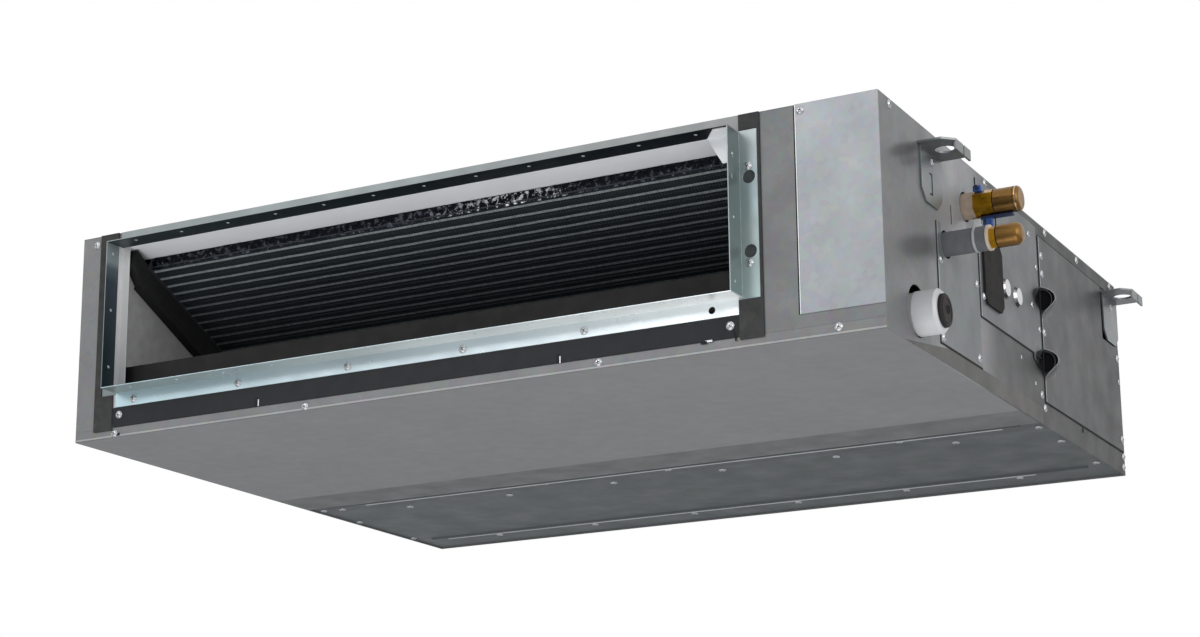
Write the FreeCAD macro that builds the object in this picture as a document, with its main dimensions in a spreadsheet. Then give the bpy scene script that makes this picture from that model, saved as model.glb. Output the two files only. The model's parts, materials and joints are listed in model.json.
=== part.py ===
"""Ducted air conditioner indoor unit, slim casing hung under a ceiling.

The frame is in millimetres with +Z up. The origin is the middle of the underside. The air outlet
faces -Y, the return air comes in at +Y, and the pipes leave the right side, +X.
"""
import FreeCAD, Part
import math
import os
import Sketcher
from FreeCAD import Placement, Rotation, Vector

document = FreeCAD.newDocument("ducted_unit")

# Driving sizes, in millimetres and degrees
SIZES = (
    ("casing_width", 1000, "outside width of the casing"),
    ("casing_depth", 800, "outside depth of the casing"),
    ("casing_height", 245, "outside height of the casing"),
    ("left_return", 27, "front strip of the left side panel"),
    ("right_return", 129, "front strip of the right side panel"),
    ("sheet_metal", 1, "thickness of the galvanised sheet"),
    ("seam_gap", 1.2, "open seam round a cover"),
    ("seat_gap", 0.3, "clearance where a loose piece sits"),
    ("felt_thickness", 3, "insulation felt under the casing"),
    ("felt_short", 44, "drain pan's rear edge back to the felt's rear edge"),
    ("bottom_hem", 12, "front hem of the bottom panel"),
    ("collar_left", 57, "casing side to the left of the outlet collar"),
    ("collar_right", 152, "casing side to the right of the outlet collar"),
    ("collar_bottom", 52, "underside to the outlet collar"),
    ("collar_top_gap", 18, "casing top to the collar's top lip"),
    ("collar_lip", 28, "how far the collar stands forward"),
    ("collar_side_face", 20, "width of the screwed side faces"),
    ("collar_low_face", 17, "height of the screwed bottom face"),
    ("collar_end_short", 4, "face kept back from the collar's right end"),
    ("face_hole_radius", 3.8, "open hole in the collar's bottom face"),
    ("face_hole_inset", 34, "collar end to that hole"),
    ("lip_hole_radius", 2, "duct screw holes in the lips"),
    ("lip_hole_pitch", 65.15, "pitch of the duct screw holes"),
    ("lip_hole_first", 33.7, "collar end to the first duct screw hole"),
    ("lip_hole_inset", 17, "casing front to the duct screw holes"),
    ("lip_hole_count", 12, "duct screw holes along the collar"),
    ("side_hole_pitch", 67.3, "pitch of the holes in the side lips"),
    ("side_hole_first", 27.7, "collar's bottom to the left lip's first hole"),
    ("side_hole_first_right", 13, "collar's bottom to the right lip's first hole"),
    ("side_hole_count", 3, "holes in each side lip"),
    ("duct_hole_radius", 7, "large holes in the right face"),
    ("duct_hole_height", 99.3, "underside to the lower large hole"),
    ("duct_hole_spacing", 78.5, "between the two large holes"),
    ("frame_strip_inner", 11.6, "strip seen inside the side lips"),
    ("top_hem", 16, "front hem of the top panel"),
    ("foam_thickness", 2, "foam strips beside the collar"),
    ("foam_width", 26, "width of the left foam strip"),
    ("foam_width_right", 26.7, "width of the right foam strip"),
    ("foam_bottom", 9, "underside to the foam strips"),
    ("deflector_depth", 31, "depth of the sloping top liner"),
    ("deflector_drop", 8, "fall of the top liner"),
    ("tab_width", 35, "gusset at the right top corner"),
    ("tab_height", 42, "height of that gusset"),
    ("front_plate_width", 90, "small plate at the right of the front"),
    ("front_plate_bottom", 26, "underside to that plate"),
    ("coil_low_height", 41.7, "underside to the coil's lower edge"),
    ("coil_front", 30, "casing front to the coil's upper edge"),
    ("coil_upper_drop", 38, "casing top to the coil's upper edge"),
    ("coil_length", 383, "coil along its slope"),
    ("coil_thickness", 32, "coil from face to face"),
    ("coil_left", 76, "casing side to the fins, left"),
    ("coil_right", 128, "casing side to the fins, right"),
    ("liner_left", 12, "casing side to the foam liner"),
    ("liner_side", 62, "casing side to the liner's inner face"),
    ("fin_ridge_pitch", 13.68, "pitch of the ridges along the fins"),
    ("fin_ridge_depth", 1.6, "depth of the ridges"),
    ("end_plate_margin", 3, "end plate past the fins"),
    ("end_plate_thickness", 1.5, "thickness of the end plates"),
    ("tube_radius", 3.5, "coil tube"),
    ("tube_depth", 16, "coil face to the tubes"),
    ("tube_pitch", 42, "pitch of the return bends"),
    ("bend_radius", 10.5, "return bend of the coil tube"),
    ("bend_count", 9, "return bends on each side"),
    ("bend_first", 12, "coil end to the first tube"),
    ("bend_stub", 6, "straight stub of each bend"),
    ("seal_width", 12, "seal strip beside the coil, width"),
    ("seal_depth", 30, "seal strip beside the coil, depth"),
    ("seal_length", 344, "seal strip beside the coil, length"),
    ("header_radius", 9, "gas header pipe"),
    ("header_offset", 24, "fins' end plate to the header"),
    ("header_length", 160, "gas header, along the slope"),
    ("header_start", 200, "coil end to the gas header, along the slope"),
    ("stub_count", 4, "stubs of the gas header"),
    ("distributor_radius", 10, "liquid distributor body"),
    ("distributor_end", 12, "distributor past its pipe and feed tubes"),
    ("distributor_side", 60, "casing side to the distributor"),
    ("feed_radius", 2, "feed tubes"),
    ("feed_pitch", 7, "between the feed tubes"),
    ("feed_off", 3.6, "coil face to the feed tubes"),
    ("pan_side", 12, "casing side to the drain pan"),
    ("pan_front", 12, "casing front to the drain pan"),
    ("pan_depth", 428, "drain pan, front to back"),
    ("pan_height", 55, "drain pan walls"),
    ("pan_front_rise", 26, "front wall above the other walls"),
    ("pan_wall", 8, "drain pan wall"),
    ("pan_floor", 14, "drain pan floor"),
    ("pan_seat_depth", 34, "step that carries the coil"),
    ("socket_back", 86, "casing front to the drain socket"),
    ("socket_height", 34.5, "underside to the drain socket"),
    ("socket_radius", 23, "drain socket, outside"),
    ("socket_bore", 16, "drain socket, inside"),
    ("socket_reach", 27, "drain socket past the casing"),
    ("socket_edge", 3, "bevel on the socket's end"),
    ("socket_hole_radius", 27, "casing hole round the socket"),
    ("socket_hole_rise", 3.3, "that hole's centre above the socket"),
    ("plug_radius", 17.3, "rubber plug, head"),
    ("plug_head", 4, "rubber plug, head thickness"),
    ("plug_stem", 18, "rubber plug, stem length"),
    ("gas_back", 243, "casing front to the gas pipe"),
    ("gas_drop", 53, "casing top to the gas pipe"),
    ("gas_pipe_radius", 7.95, "gas pipe"),
    ("gas_sleeve_radius", 14.4, "sleeve round the gas pipe"),
    ("gas_sleeve_reach", 13, "sleeve past the casing"),
    ("gas_nut_across", 26, "gas union, across flats"),
    ("gas_nut_length", 21, "gas union, length"),
    ("gas_cap_radius", 13.8, "gas cap nut"),
    ("gas_cap_length", 29, "gas cap nut, length"),
    ("gas_cap_round", 4, "rounding of the gas cap's end"),
    ("liquid_back", 177, "casing front to the liquid pipe"),
    ("liquid_drop", 113, "casing top to the liquid pipe"),
    ("liquid_pipe_radius", 4.75, "liquid pipe"),
    ("liquid_sleeve_radius", 13, "sleeve round the liquid pipe"),
    ("liquid_sleeve_reach", 33, "first sleeve past the casing"),
    ("liquid_second_sleeve", 11.5, "second sleeve on the liquid pipe"),
    ("liquid_nut_across", 20, "liquid union, across flats"),
    ("liquid_nut_length", 7, "liquid union, length"),
    ("sleeve_inside", 40, "both sleeves inside the casing"),
    ("liquid_cap_radius", 12, "liquid cap nut"),
    ("liquid_cap_length", 27, "liquid cap nut, length"),
    ("liquid_cap_round", 7, "rounding of the liquid cap's end"),
    ("tie_length", 2.5, "tie between the sleeves"),
    ("tie_proud", 0.6, "tie past the sleeve"),
    ("ring_length", 3, "ring at the sleeve's end"),
    ("cap_wall", 3, "wall of both cap nuts"),
    ("union_nose", 12, "threaded nose inside a cap nut"),
    ("pipe_hole_gap", 2, "casing hole round a sleeve"),
    ("access_back", 150, "casing front to the access cover"),
    ("access_width", 124, "access cover, front to back"),
    ("access_bottom", 21, "underside to the access cover"),
    ("access_drop", 94, "casing top to the access cover"),
    ("cover_margin", 12, "cover edge to the opening under it"),
    ("access_top_margin", 50, "the same at the access cover's top"),
    ("pipe_plate_gap", 5, "access cover to the pipe plate"),
    ("pipe_plate_rear", 8, "pipe plate to the electrical cover"),
    ("pipe_plate_bottom", 80, "underside to the pipe plate"),
    ("pipe_plate_drop", 9, "casing top to the pipe plate"),
    ("pad_inset", 9, "pipe plate's edge to the foam pad"),
    ("pad_width", 60, "foam pad, front to back"),
    ("pad_bottom", 97, "underside to the foam pad"),
    ("pad_height", 76, "foam pad, height"),
    ("pad_proud", 3, "foam pad past the casing"),
    ("pad_corner", 8, "cut corner of the foam pad"),
    ("disc_radius", 12.5, "knock-out plugs"),
    ("disc_inset", 84, "pipe plate's edge to the first plug"),
    ("disc_spacing", 40, "between the two plugs"),
    ("disc_height", 132, "underside to the plugs"),
    ("disc_dome", 3, "how far a plug stands out"),
    ("cover_gap", 37, "fan deck to the electrical cover"),
    ("cover_rear", 3, "casing back to the electrical cover"),
    ("cover_bottom", 29.5, "underside to the electrical cover"),
    ("cover_drop", 17.5, "casing top to the electrical cover"),
    ("cover_notch_depth", 65, "cover's corner cut away for the hanger, front to back"),
    ("cover_notch_height", 66, "the same, height"),
    ("hood_radius", 14, "cable entry hoods"),
    ("hood_length", 38, "cable entry hoods, front to back"),
    ("dimple_length", 36, "pressed hollow ahead of a hood"),
    ("hood_upper", 150, "underside to the upper hood"),
    ("hood_lower", 76, "underside to the lower hood"),
    ("hanger_front", 137.5, "casing front to the first hanger"),
    ("hanger_rear", 31.5, "casing back to the rear hangers"),
    ("hanger_drop", 24, "casing top to the hanger plates"),
    ("hanger_metal", 2.3, "hanger sheet"),
    ("hanger_width", 68, "hanger, front to back"),
    ("hanger_reach", 38, "hanger past the casing"),
    ("hanger_leg", 58, "hanger leg on the casing side"),
    ("hanger_leg_width", 58, "hanger leg, front to back"),
    ("hanger_leg_corner", 12, "cut corners of the leg"),
    ("hanger_tab", 9, "bent tabs at the hanger's end"),
    ("hanger_slit", 3, "slit between the bent tabs"),
    ("slot_offset", 19, "casing side to the hanging rod"),
    ("rod_hole_radius", 11, "opening for a hanging rod"),
    ("mid_strip_depth", 70, "strip behind the felt"),
    ("rear_panel_lift", 2, "underside to the rear panels"),
    ("rib_radius", 3, "stamped ribs under the fans"),
    ("rib_margin", 25, "panel edge to a rib's end"),
    ("rib_front_inset", 6, "panel edge to the front rib"),
    ("rib_rear_inset", 66, "panel edge to the rear rib"),
    ("deck_gap", 12, "drain pan to the fan deck"),
    ("deck_right", 134, "casing side to the end of the fan room"),
    ("fan_axis_run", 162, "fan deck to the fan shaft"),
    ("fan_axis_height", 122, "underside to the fan shaft"),
    ("fan_spread", 240, "motor to the middle of each fan"),
    ("fan_middle", 434, "casing side to the middle of the motor"),
    ("scroll_width", 200, "fan housing, along the shaft"),
    ("scroll_growth", 18, "how much the housing's spiral grows"),
    ("scroll_gap", 10, "fan housing to the top panel"),
    ("scroll_sweep", 300, "turn of the housing's spiral, degrees"),
    ("scroll_wall", 2, "housing wall"),
    ("mouth_gap", 3, "blades' inside to the air inlets"),
    ("mouth_lip", 7, "rolled lip of the inlets"),
    ("wheel_gap", 10, "fan wheel to the housing's tongue"),
    ("blade_ring", 15, "ring of blades, from inside to outside"),
    ("wheel_width", 176, "fan wheel, along the shaft"),
    ("wheel_ring", 3, "fan wheel's end rings"),
    ("wheel_disc", 3, "fan wheel's middle disc"),
    ("hub_radius", 16, "fan wheel's hub"),
    ("hub_length", 30, "fan wheel's hub, length"),
    ("blade_chord", 13, "blade, along its lean"),
    ("blade_count", 30, "blades of a fan wheel"),
    ("blade_thickness", 1.5, "blade"),
    ("blade_lean", 20, "blade's lean, degrees"),
    ("shaft_radius", 6, "motor shaft"),
    ("shaft_running_gap", 0.06, "running fit of the shaft"),
    ("shaft_overhang", 20, "shaft past the middle of a fan wheel"),
    ("motor_radius", 52, "fan motor"),
    ("motor_length", 96, "fan motor, length"),
    ("motor_boss_radius", 22, "bearing bosses of the motor"),
    ("motor_boss", 14, "bearing bosses, length"),
    ("cradle_width", 12, "motor cradle webs"),
    ("cradle_drop", 66, "shaft to the cradle shelf"),
    ("strap_thickness", 2, "strap over the motor, thickness"),
    ("box_reach", 112, "electrical box into the casing"),
    ("box_inset", 12, "cover edge to the electrical box"),
    ("board_gap", 8, "board off the box's floor"),
    ("board_thickness", 1.6, "circuit board"),
    ("board_margin", 22, "box wall to the board"),
    ("terminal_length", 84, "terminal block"),
    ("terminal_depth", 18, "terminal block, off the wall"),
    ("terminal_width", 24, "terminal block, off the board"),
    ("inlet_side", 60, "casing side to the return air opening"),
    ("inlet_bottom", 28, "underside to the return air opening"),
    ("inlet_drop", 29, "casing top to the return air opening"),
    ("inlet_gap", 16, "partition to the return air opening"),
    ("inlet_tube", 20, "depth of the opening's return"),
    ("filter_frame", 14, "filter's border"),
    ("filter_thickness", 9, "filter"),
    ("filter_bars", 5, "upright bars of the filter"),
    ("guide_width", 5, "filter guides"),
    ("float_back", 212, "casing front to the float switch"),
    ("float_side", 60, "casing side to the float switch"),
    ("float_radius", 12, "float"),
    ("float_height", 16, "float, height"),
    ("float_stem_radius", 3, "float's stem"),
    ("float_arm_height", 104, "underside to the float's arm"),
    ("float_arm", 6, "float's arm, thickness"),
    ("float_low", 30, "underside to the resting float"),
)

sheet = document.addObject("Spreadsheet::Sheet", "Sizes")
for row, (alias, value, note) in enumerate(SIZES, start=1):
    sheet.set("A%d" % row, note)
    sheet.set("B%d" % row, str(value))
    sheet.setAlias("B%d" % row, alias)
document.recompute()


class Size:
    """A length or angle that carries the sheet expression it is made of."""

    def __init__(self, value, text):
        self.value = value
        self.text = text

    def __float__(self):
        return float(self.value)

    def __neg__(self):
        return Size(-self.value, "(0 - %s)" % self.text)

    def __add__(self, other):
        return Size(self.value + float(other), "(%s + %s)" % (self.text, written(other)))

    def __radd__(self, other):
        return Size(float(other) + self.value, "(%s + %s)" % (written(other), self.text))

    def __sub__(self, other):
        return Size(self.value - float(other), "(%s - %s)" % (self.text, written(other)))

    def __rsub__(self, other):
        return Size(float(other) - self.value, "(%s - %s)" % (written(other), self.text))

    def __mul__(self, other):
        return Size(self.value * float(other), "(%s * %s)" % (self.text, written(other)))

    __rmul__ = __mul__

    def __truediv__(self, other):
        return Size(self.value / float(other), "(%s / %s)" % (self.text, written(other)))


def written(item):
    """The text of a size or of a plain number, for an expression."""
    return item.text if isinstance(item, Size) else repr(float(item))


def arcsine(share):
    """The angle, in degrees, that has this sine."""
    return Size(math.degrees(math.asin(share.value)), "(asin(%s) / 1deg)" % share.text)


def cosine(angle):
    return Size(math.cos(math.radians(angle.value)), "cos(%s * 1deg)" % angle.text)


def sine(angle):
    return Size(math.sin(math.radians(angle.value)), "sin(%s * 1deg)" % angle.text)


class Named:
    """Every driving size as an attribute."""


dim = Named()
for alias, value, note in SIZES:
    setattr(dim, alias, Size(float(sheet.get(alias)), "Sizes." + alias))

nodes = {}

# The casing's faces, worked out once
left = -dim.casing_width / 2
right = dim.casing_width / 2
front = -dim.casing_depth / 2
back = dim.casing_depth / 2
top = dim.casing_height * 1
metal = dim.sheet_metal

TURN = {
    "X": Rotation(Vector(0, 1, 0), 90),
    "Y": Rotation(Vector(1, 0, 0), -90),
    "Z": Rotation(),
}


def bind(item, name, size):
    """Ties one property to the sheet, or sets a plain number."""
    if isinstance(size, Size):
        item.setExpression(name, size.text)


def move(item, place):
    """Puts an object at a point whose coordinates come from the sheet."""
    turn = item.Placement.Rotation
    item.Placement = Placement(Vector(*[float(part) for part in place]), turn)
    for axis, size in zip("xyz", place):
        bind(item, "Placement.Base." + axis, size)


def block(name, sizes, corner):
    """A box from its lowest corner."""
    solid = document.addObject("Part::Box", name)
    for side, size in zip(("Length", "Width", "Height"), sizes):
        setattr(solid, side, float(size))
        bind(solid, side, size)
    move(solid, corner)
    return solid


def bar(name, radius, length, start, along):
    """A round bar from the middle of its lower end."""
    solid = document.addObject("Part::Cylinder", name)
    solid.Radius = float(radius)
    solid.Height = float(length)
    bind(solid, "Radius", radius)
    bind(solid, "Height", length)
    solid.Placement = Placement(Vector(), TURN[along])
    move(solid, start)
    return solid


def cone(name, first, second, length, start, along):
    """A cone from the middle of its first end."""
    solid = document.addObject("Part::Cone", name)
    for side, size in (("Radius1", first), ("Radius2", second), ("Height", length)):
        setattr(solid, side, float(size))
        bind(solid, side, size)
    solid.Placement = Placement(Vector(), TURN[along])
    move(solid, start)
    return solid


def joined(name, *pieces):
    """One solid out of several that touch or overlap."""
    solid = document.addObject("Part::MultiFuse", name)
    solid.Shapes = list(pieces)
    solid.Refine = True
    return solid


def group(name, pieces):
    """Separate solids kept in one object."""
    bundle = document.addObject("Part::Compound", name)
    bundle.Links = list(pieces)
    return bundle


def less(name, base, *tools):
    """A solid with others cut out of it."""
    tool = tools[0] if len(tools) == 1 else group(name + "_tools", tools)
    solid = document.addObject("Part::Cut", name)
    solid.Base = base
    solid.Tool = tool
    solid.Refine = True
    return solid


def origin_plane(body, role):
    """One of a body's own three planes."""
    return [item for item in body.Origin.OriginFeatures if item.Role == role][0]


def new_sketch(body, role, name):
    sketch = body.newObject("Sketcher::SketchObject", name)
    sketch.AttachmentSupport = (origin_plane(body, role), [""])
    sketch.MapMode = "FlatFace"
    return sketch


def pin_corner(sketch, edge, corner):
    """Holds the start of an edge at a place that follows the sheet."""
    for kind, axis, size in (("DistanceX", -2, corner[0]), ("DistanceY", -1, corner[1])):
        if isinstance(size, Size):
            rule = Sketcher.Constraint(kind, -1, 1, edge, 1, float(size))
            index = sketch.addConstraint(rule)
            sketch.setExpression("Constraints[%d]" % index, size.text)
        else:
            sketch.addConstraint(Sketcher.Constraint("PointOnObject", edge, 1, axis))


def draw(sketch, corners):
    """A closed outline of straight edges, every corner tied to the sheet."""
    points = [Vector(float(across), float(up), 0) for across, up in corners]
    count = len(points)
    for edge in range(count):
        sketch.addGeometry(Part.LineSegment(points[edge], points[(edge + 1) % count]))
    for edge in range(count):
        sketch.addConstraint(Sketcher.Constraint("Coincident", edge, 2, (edge + 1) % count, 1))
    for edge, corner in enumerate(corners):
        pin_corner(sketch, edge, corner)


def pressed(name, role, corners, length, place, backwards=False):
    """A body padded from an outline on one of its planes."""
    body = document.addObject("PartDesign::Body", name)
    sketch = new_sketch(body, role, name + "_outline")
    draw(sketch, corners)
    pad = body.newObject("PartDesign::Pad", name + "_pad")
    pad.Profile = sketch
    pad.Length = float(length)
    bind(pad, "Length", length)
    pad.Reversed = backwards
    sketch.Visibility = False
    move(body, place)
    return body


def turned(name, corners, place):
    """A body turned round the X axis from a half outline of (along, radius) corners."""
    body = document.addObject("PartDesign::Body", name)
    sketch = new_sketch(body, "XY_Plane", name + "_outline")
    draw(sketch, corners)
    spin = body.newObject("PartDesign::Revolution", name + "_turn")
    spin.Profile = sketch
    spin.ReferenceAxis = (sketch, ["H_Axis"])
    spin.Angle = 360
    sketch.Visibility = False
    move(body, place)
    return body


def round_row(name, radius, length, first, along, step_axis, pitch, count):
    """A straight row of round tools for holes, from the first one's place."""
    tools = []
    for index in range(int(float(count))):
        place = list(first)
        place[step_axis] = place[step_axis] + pitch * index
        tools.append(bar("%s_%d" % (name, index + 1), radius, length, place, along))
    return tools


def fixed_shape(name, shape):
    """A shape worked out in code from the sheet's values."""
    item = document.addObject("Part::Feature", name)
    item.Shape = shape
    return item


def keep(name, item):
    """Names the finished object of one sub-part."""
    item.Label = name
    nodes[name] = item
    return item


def hexagon(name, radius, length, start, along):
    """A hexagonal bar, radius to its corners."""
    solid = document.addObject("Part::Prism", name)
    solid.Polygon = 6
    solid.Circumradius = float(radius)
    solid.Height = float(length)
    bind(solid, "Circumradius", radius)
    bind(solid, "Height", length)
    solid.Placement = Placement(Vector(), TURN[along])
    move(solid, start)
    return solid


def between(name, low, high):
    """A box between two opposite corners."""
    return block(name, [far - near for near, far in zip(low, high)], low)


coil_slope = arcsine((top - dim.coil_upper_drop - dim.coil_low_height) / dim.coil_length)


def slope_place(across, along, off):
    """A point in the coil's own frame: along its slope from the upper edge, and off its lower face."""
    down = coil_slope
    deep = front + dim.coil_front + cosine(down) * along + sine(down) * off
    high = top - dim.coil_upper_drop - sine(down) * along + cosine(down) * off
    return (across, deep, high)


def sloped_block(name, sizes, corner):
    """A box that lies along the coil's slope."""
    solid = block(name, sizes, slope_place(*corner))
    place = solid.Placement
    place.Rotation = Rotation(Vector(-1, 0, 0), coil_slope.value)
    solid.Placement = place
    solid.setExpression("Placement.Rotation.Angle", coil_slope.text)
    return solid


# Casing sheets
inner_left = left + metal
inner_right = right - metal
inner_front = front + metal
inner_back = back - metal
floor_low = dim.felt_thickness * 1
floor_top = dim.felt_thickness + metal
under_top = top - metal
strip_top = top - dim.top_hem
felt_back = front + dim.pan_front + dim.pan_depth - dim.felt_short
strip_back = felt_back + dim.mid_strip_depth

roof = between("roof_sheet", (left, front, under_top), (right, back, top))
roof_hem = between(
    "roof_hem", (left + dim.left_return, front, strip_top), (right - dim.right_return, inner_front, under_top)
)
keep("top_panel", joined("roof", roof, roof_hem))

left_sheet = between("left_sheet", (left, inner_front, 0 * metal), (inner_left, inner_back, under_top))
left_strip = between(
    "left_strip", (left, front, dim.bottom_hem), (left + dim.left_return, inner_front, under_top)
)
keep("left_side_panel", joined("left_wall", left_sheet, left_strip))

floor_sheet = between("floor_sheet", (inner_left, inner_front, floor_low), (inner_right, felt_back, floor_top))
floor_hem = between("floor_hem", (left, front, 0 * metal), (right, inner_front, dim.bottom_hem))
keep("bottom_front_panel", joined("floor", floor_sheet, floor_hem))

keep("underside_felt", between("felt", (inner_left, inner_front, 0 * metal), (inner_right, felt_back, floor_low)))
keep(
    "bottom_mid_strip",
    between("mid_strip", (inner_left, felt_back, 0 * metal), (inner_right, strip_back - dim.seam_gap, floor_top)),
)

# Service panel under the fans, with two stamped ribs
panel_low = dim.rear_panel_lift * 1
panel_top = panel_low + metal
panel_left = inner_left + dim.seam_gap
panel_right = inner_right - dim.seam_gap
panel_back = inner_back - dim.seam_gap
panel_sheet = between("panel_sheet", (panel_left, strip_back, panel_low), (panel_right, panel_back, panel_top))
rib_length = panel_right - panel_left - 2 * dim.rib_margin
ribs = []
for name, deep in (("front_rib", strip_back + dim.rib_front_inset), ("rear_rib", panel_back - dim.rib_rear_inset)):
    ribs.append(bar(name, dim.rib_radius, rib_length, (panel_left + dim.rib_margin, deep, dim.rib_radius), "X"))
rib_trim = between("rib_trim", (left, strip_back, panel_top), (right, back, panel_top + 2 * dim.rib_radius))
pressed_ribs = less("pressed_ribs", group("whole_ribs", ribs), rib_trim)
keep("fan_service_panel", joined("service_panel", panel_sheet, pressed_ribs))

# Outlet collar: lips that stand forward, and flat faces that are screwed to the casing
collar_low = dim.collar_bottom * 1
collar_high = top - dim.collar_top_gap
collar_west = left + dim.collar_left
collar_east = right - dim.collar_right
lip_front = front - dim.collar_lip
face_front = front - metal
hole_deep = front - dim.lip_hole_inset
lip_hole_start = collar_west + dim.lip_hole_first
side_hole_start = collar_low + dim.side_hole_first
right_hole_start = collar_low + dim.side_hole_first_right

top_lip = between("top_lip", (collar_west, lip_front, collar_high - metal), (collar_east, front, collar_high))
top_face = between("top_face", (collar_west, face_front, collar_high - metal), (collar_east, front, top))
top_holes = round_row(
    "top_hole", dim.lip_hole_radius, 3 * metal, (lip_hole_start, hole_deep, collar_high - 2 * metal),
    "Z", 0, dim.lip_hole_pitch, dim.lip_hole_count,
)
keep("outlet_flange_top", less("top_flange", joined("top_flange_blank", top_lip, top_face), *top_holes))

low_face_bottom = collar_low - dim.collar_low_face
low_face_east = collar_east - dim.collar_end_short
low_lip = between("low_lip", (collar_west, lip_front, collar_low), (collar_east, front, collar_low + metal))
low_face = between("low_face", (collar_west, face_front, low_face_bottom), (low_face_east, front, collar_low + metal))
low_holes = round_row(
    "low_hole", dim.lip_hole_radius, 3 * metal, (lip_hole_start, hole_deep, collar_low - metal),
    "Z", 0, dim.lip_hole_pitch, dim.lip_hole_count,
)
open_hole_place = (
    collar_east - dim.face_hole_inset, front - 2 * metal, collar_low - dim.collar_low_face / 2
)
open_hole = bar("open_hole", dim.face_hole_radius, 4 * metal, open_hole_place, "Y")
low_blank = joined("low_flange_blank", low_lip, low_face)
keep("outlet_flange_bottom", less("low_flange", low_blank, open_hole, *low_holes))

side_low = collar_low + metal
side_high = collar_high - metal
face_low = collar_low - 2 * metal
face_high = collar_high + metal
west_lip = between("west_lip", (collar_west, lip_front, side_low), (collar_west + metal, front, side_high))
west_face = between(
    "west_face", (collar_west - dim.collar_side_face, face_front, face_low), (collar_west, front, face_high)
)
west_joint = between(
    "west_joint", (collar_west - metal, face_front, side_low), (collar_west + metal, front, side_high)
)
west_holes = round_row(
    "west_hole", dim.lip_hole_radius, 3 * metal, (collar_west - metal, hole_deep, side_hole_start),
    "X", 2, dim.side_hole_pitch, dim.side_hole_count,
)
west_blank = joined("west_flange_blank", west_lip, west_face, west_joint)
keep("outlet_flange_left", less("west_flange", west_blank, *west_holes))

east_lip = between("east_lip", (collar_east - metal, lip_front, side_low), (collar_east, front, side_high))
east_face = between(
    "east_face", (collar_east, face_front, face_low), (collar_east + dim.collar_side_face, front, face_high)
)
east_joint = between(
    "east_joint", (collar_east - metal, face_front, side_low), (collar_east + metal, front, side_high)
)
east_holes = round_row(
    "east_hole", dim.lip_hole_radius, 3 * metal, (collar_east - 2 * metal, hole_deep, right_hole_start),
    "X", 2, dim.side_hole_pitch, dim.side_hole_count,
)
duct_hole_start = (collar_east + dim.collar_side_face / 2, front - 2 * metal, dim.duct_hole_height)
duct_holes = round_row(
    "duct_hole", dim.duct_hole_radius, 4 * metal, duct_hole_start, "Y", 2, dim.duct_hole_spacing, Size(2, "2")
)
east_blank = joined("east_flange_blank", east_lip, east_face, east_joint)
keep("outlet_flange_right", less("east_flange", east_blank, *east_holes, *duct_holes))

# Strips, plates and foam of the front
strip_west = collar_west + dim.frame_strip_inner
strip_east = collar_east - dim.frame_strip_inner
west_strip = between(
    "west_strip", (left + dim.left_return, front, dim.bottom_hem), (strip_west, inner_front, strip_top)
)
east_strip_blank = between(
    "east_strip_blank", (strip_east, front, dim.bottom_hem), (right - dim.right_return, inner_front, strip_top)
)
strip_hole_start = (duct_hole_start[0], front - metal, dim.duct_hole_height)
strip_holes = round_row(
    "strip_hole", dim.duct_hole_radius, 3 * metal, strip_hole_start, "Y", 2, dim.duct_hole_spacing, Size(2, "2")
)
east_strip = less("east_strip", east_strip_blank, *strip_holes)
keep("opening_side_strips", group("side_strips", (west_strip, east_strip)))

plate_top = low_face_bottom - dim.seat_gap
plate_behind = between(
    "plate_behind", (strip_west, front, dim.bottom_hem), (strip_east, inner_front, collar_low + metal)
)
plate_before = between(
    "plate_before", (collar_west - 3 * metal, face_front, dim.bottom_hem), (low_face_east, front, plate_top)
)
plate_hole = bar("plate_hole", dim.face_hole_radius, 4 * metal, open_hole_place, "Y")
keep("lower_front_plate", less("low_plate", joined("low_plate_blank", plate_behind, plate_before), plate_hole))

foam_front = front - dim.foam_thickness
foam_low = dim.foam_bottom * 1
foam_cut_low = face_low - dim.seat_gap
foam_cut_high = face_high + dim.seat_gap
west_foam_start = left + dim.left_return
west_foam = between(
    "west_foam", (west_foam_start, foam_front, foam_low), (west_foam_start + dim.foam_width, front, top)
)
west_foam_cut = between(
    "west_foam_cut",
    (collar_west - dim.collar_side_face - dim.seat_gap, foam_front - metal, foam_cut_low),
    (collar_west, inner_front, foam_cut_high),
)
keep("foam_strip_left", less("west_foam_strip", west_foam, west_foam_cut))

east_foam_end = right - dim.right_return
east_foam_start = east_foam_end - dim.foam_width_right
east_foam = between(
    "east_foam", (east_foam_start, foam_front, foam_low), (east_foam_end, front, top)
)
east_foam_cut = between(
    "east_foam_cut",
    (east_foam_start - metal, foam_front - metal, foam_cut_low),
    (collar_east + dim.collar_side_face + dim.seat_gap, inner_front, foam_cut_high),
)
east_top_cut = between(
    "east_top_cut",
    (east_foam_start - metal, foam_front - metal, foam_cut_low),
    (collar_east + dim.seat_gap, inner_front, top + metal),
)
keep("foam_strip_right", less("east_foam_strip", east_foam, east_foam_cut, east_top_cut))

keep(
    "front_cover_plate",
    between(
        "cover_plate", (right - dim.front_plate_width, face_front, dim.front_plate_bottom), (right, front, top)
    ),
)

# Sloping liner under the top lip, hooked behind the roof's hem
liner_start = inner_front * 1
liner_back = inner_front + dim.deflector_depth
liner_end = collar_high - dim.deflector_drop
hook_top = strip_top + 3 * metal
keep(
    "outlet_top_deflector",
    pressed(
        "deflector",
        "YZ_Plane",
        (
            (liner_start, hook_top),
            (liner_start, collar_high - metal),
            (liner_back, liner_end),
            (liner_back, liner_end + metal),
            (liner_start + metal, collar_high),
            (liner_start + metal, hook_top),
        ),
        collar_east - collar_west - 4 * metal,
        (collar_west + 2 * metal, 0, 0),
    ),
)

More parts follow.
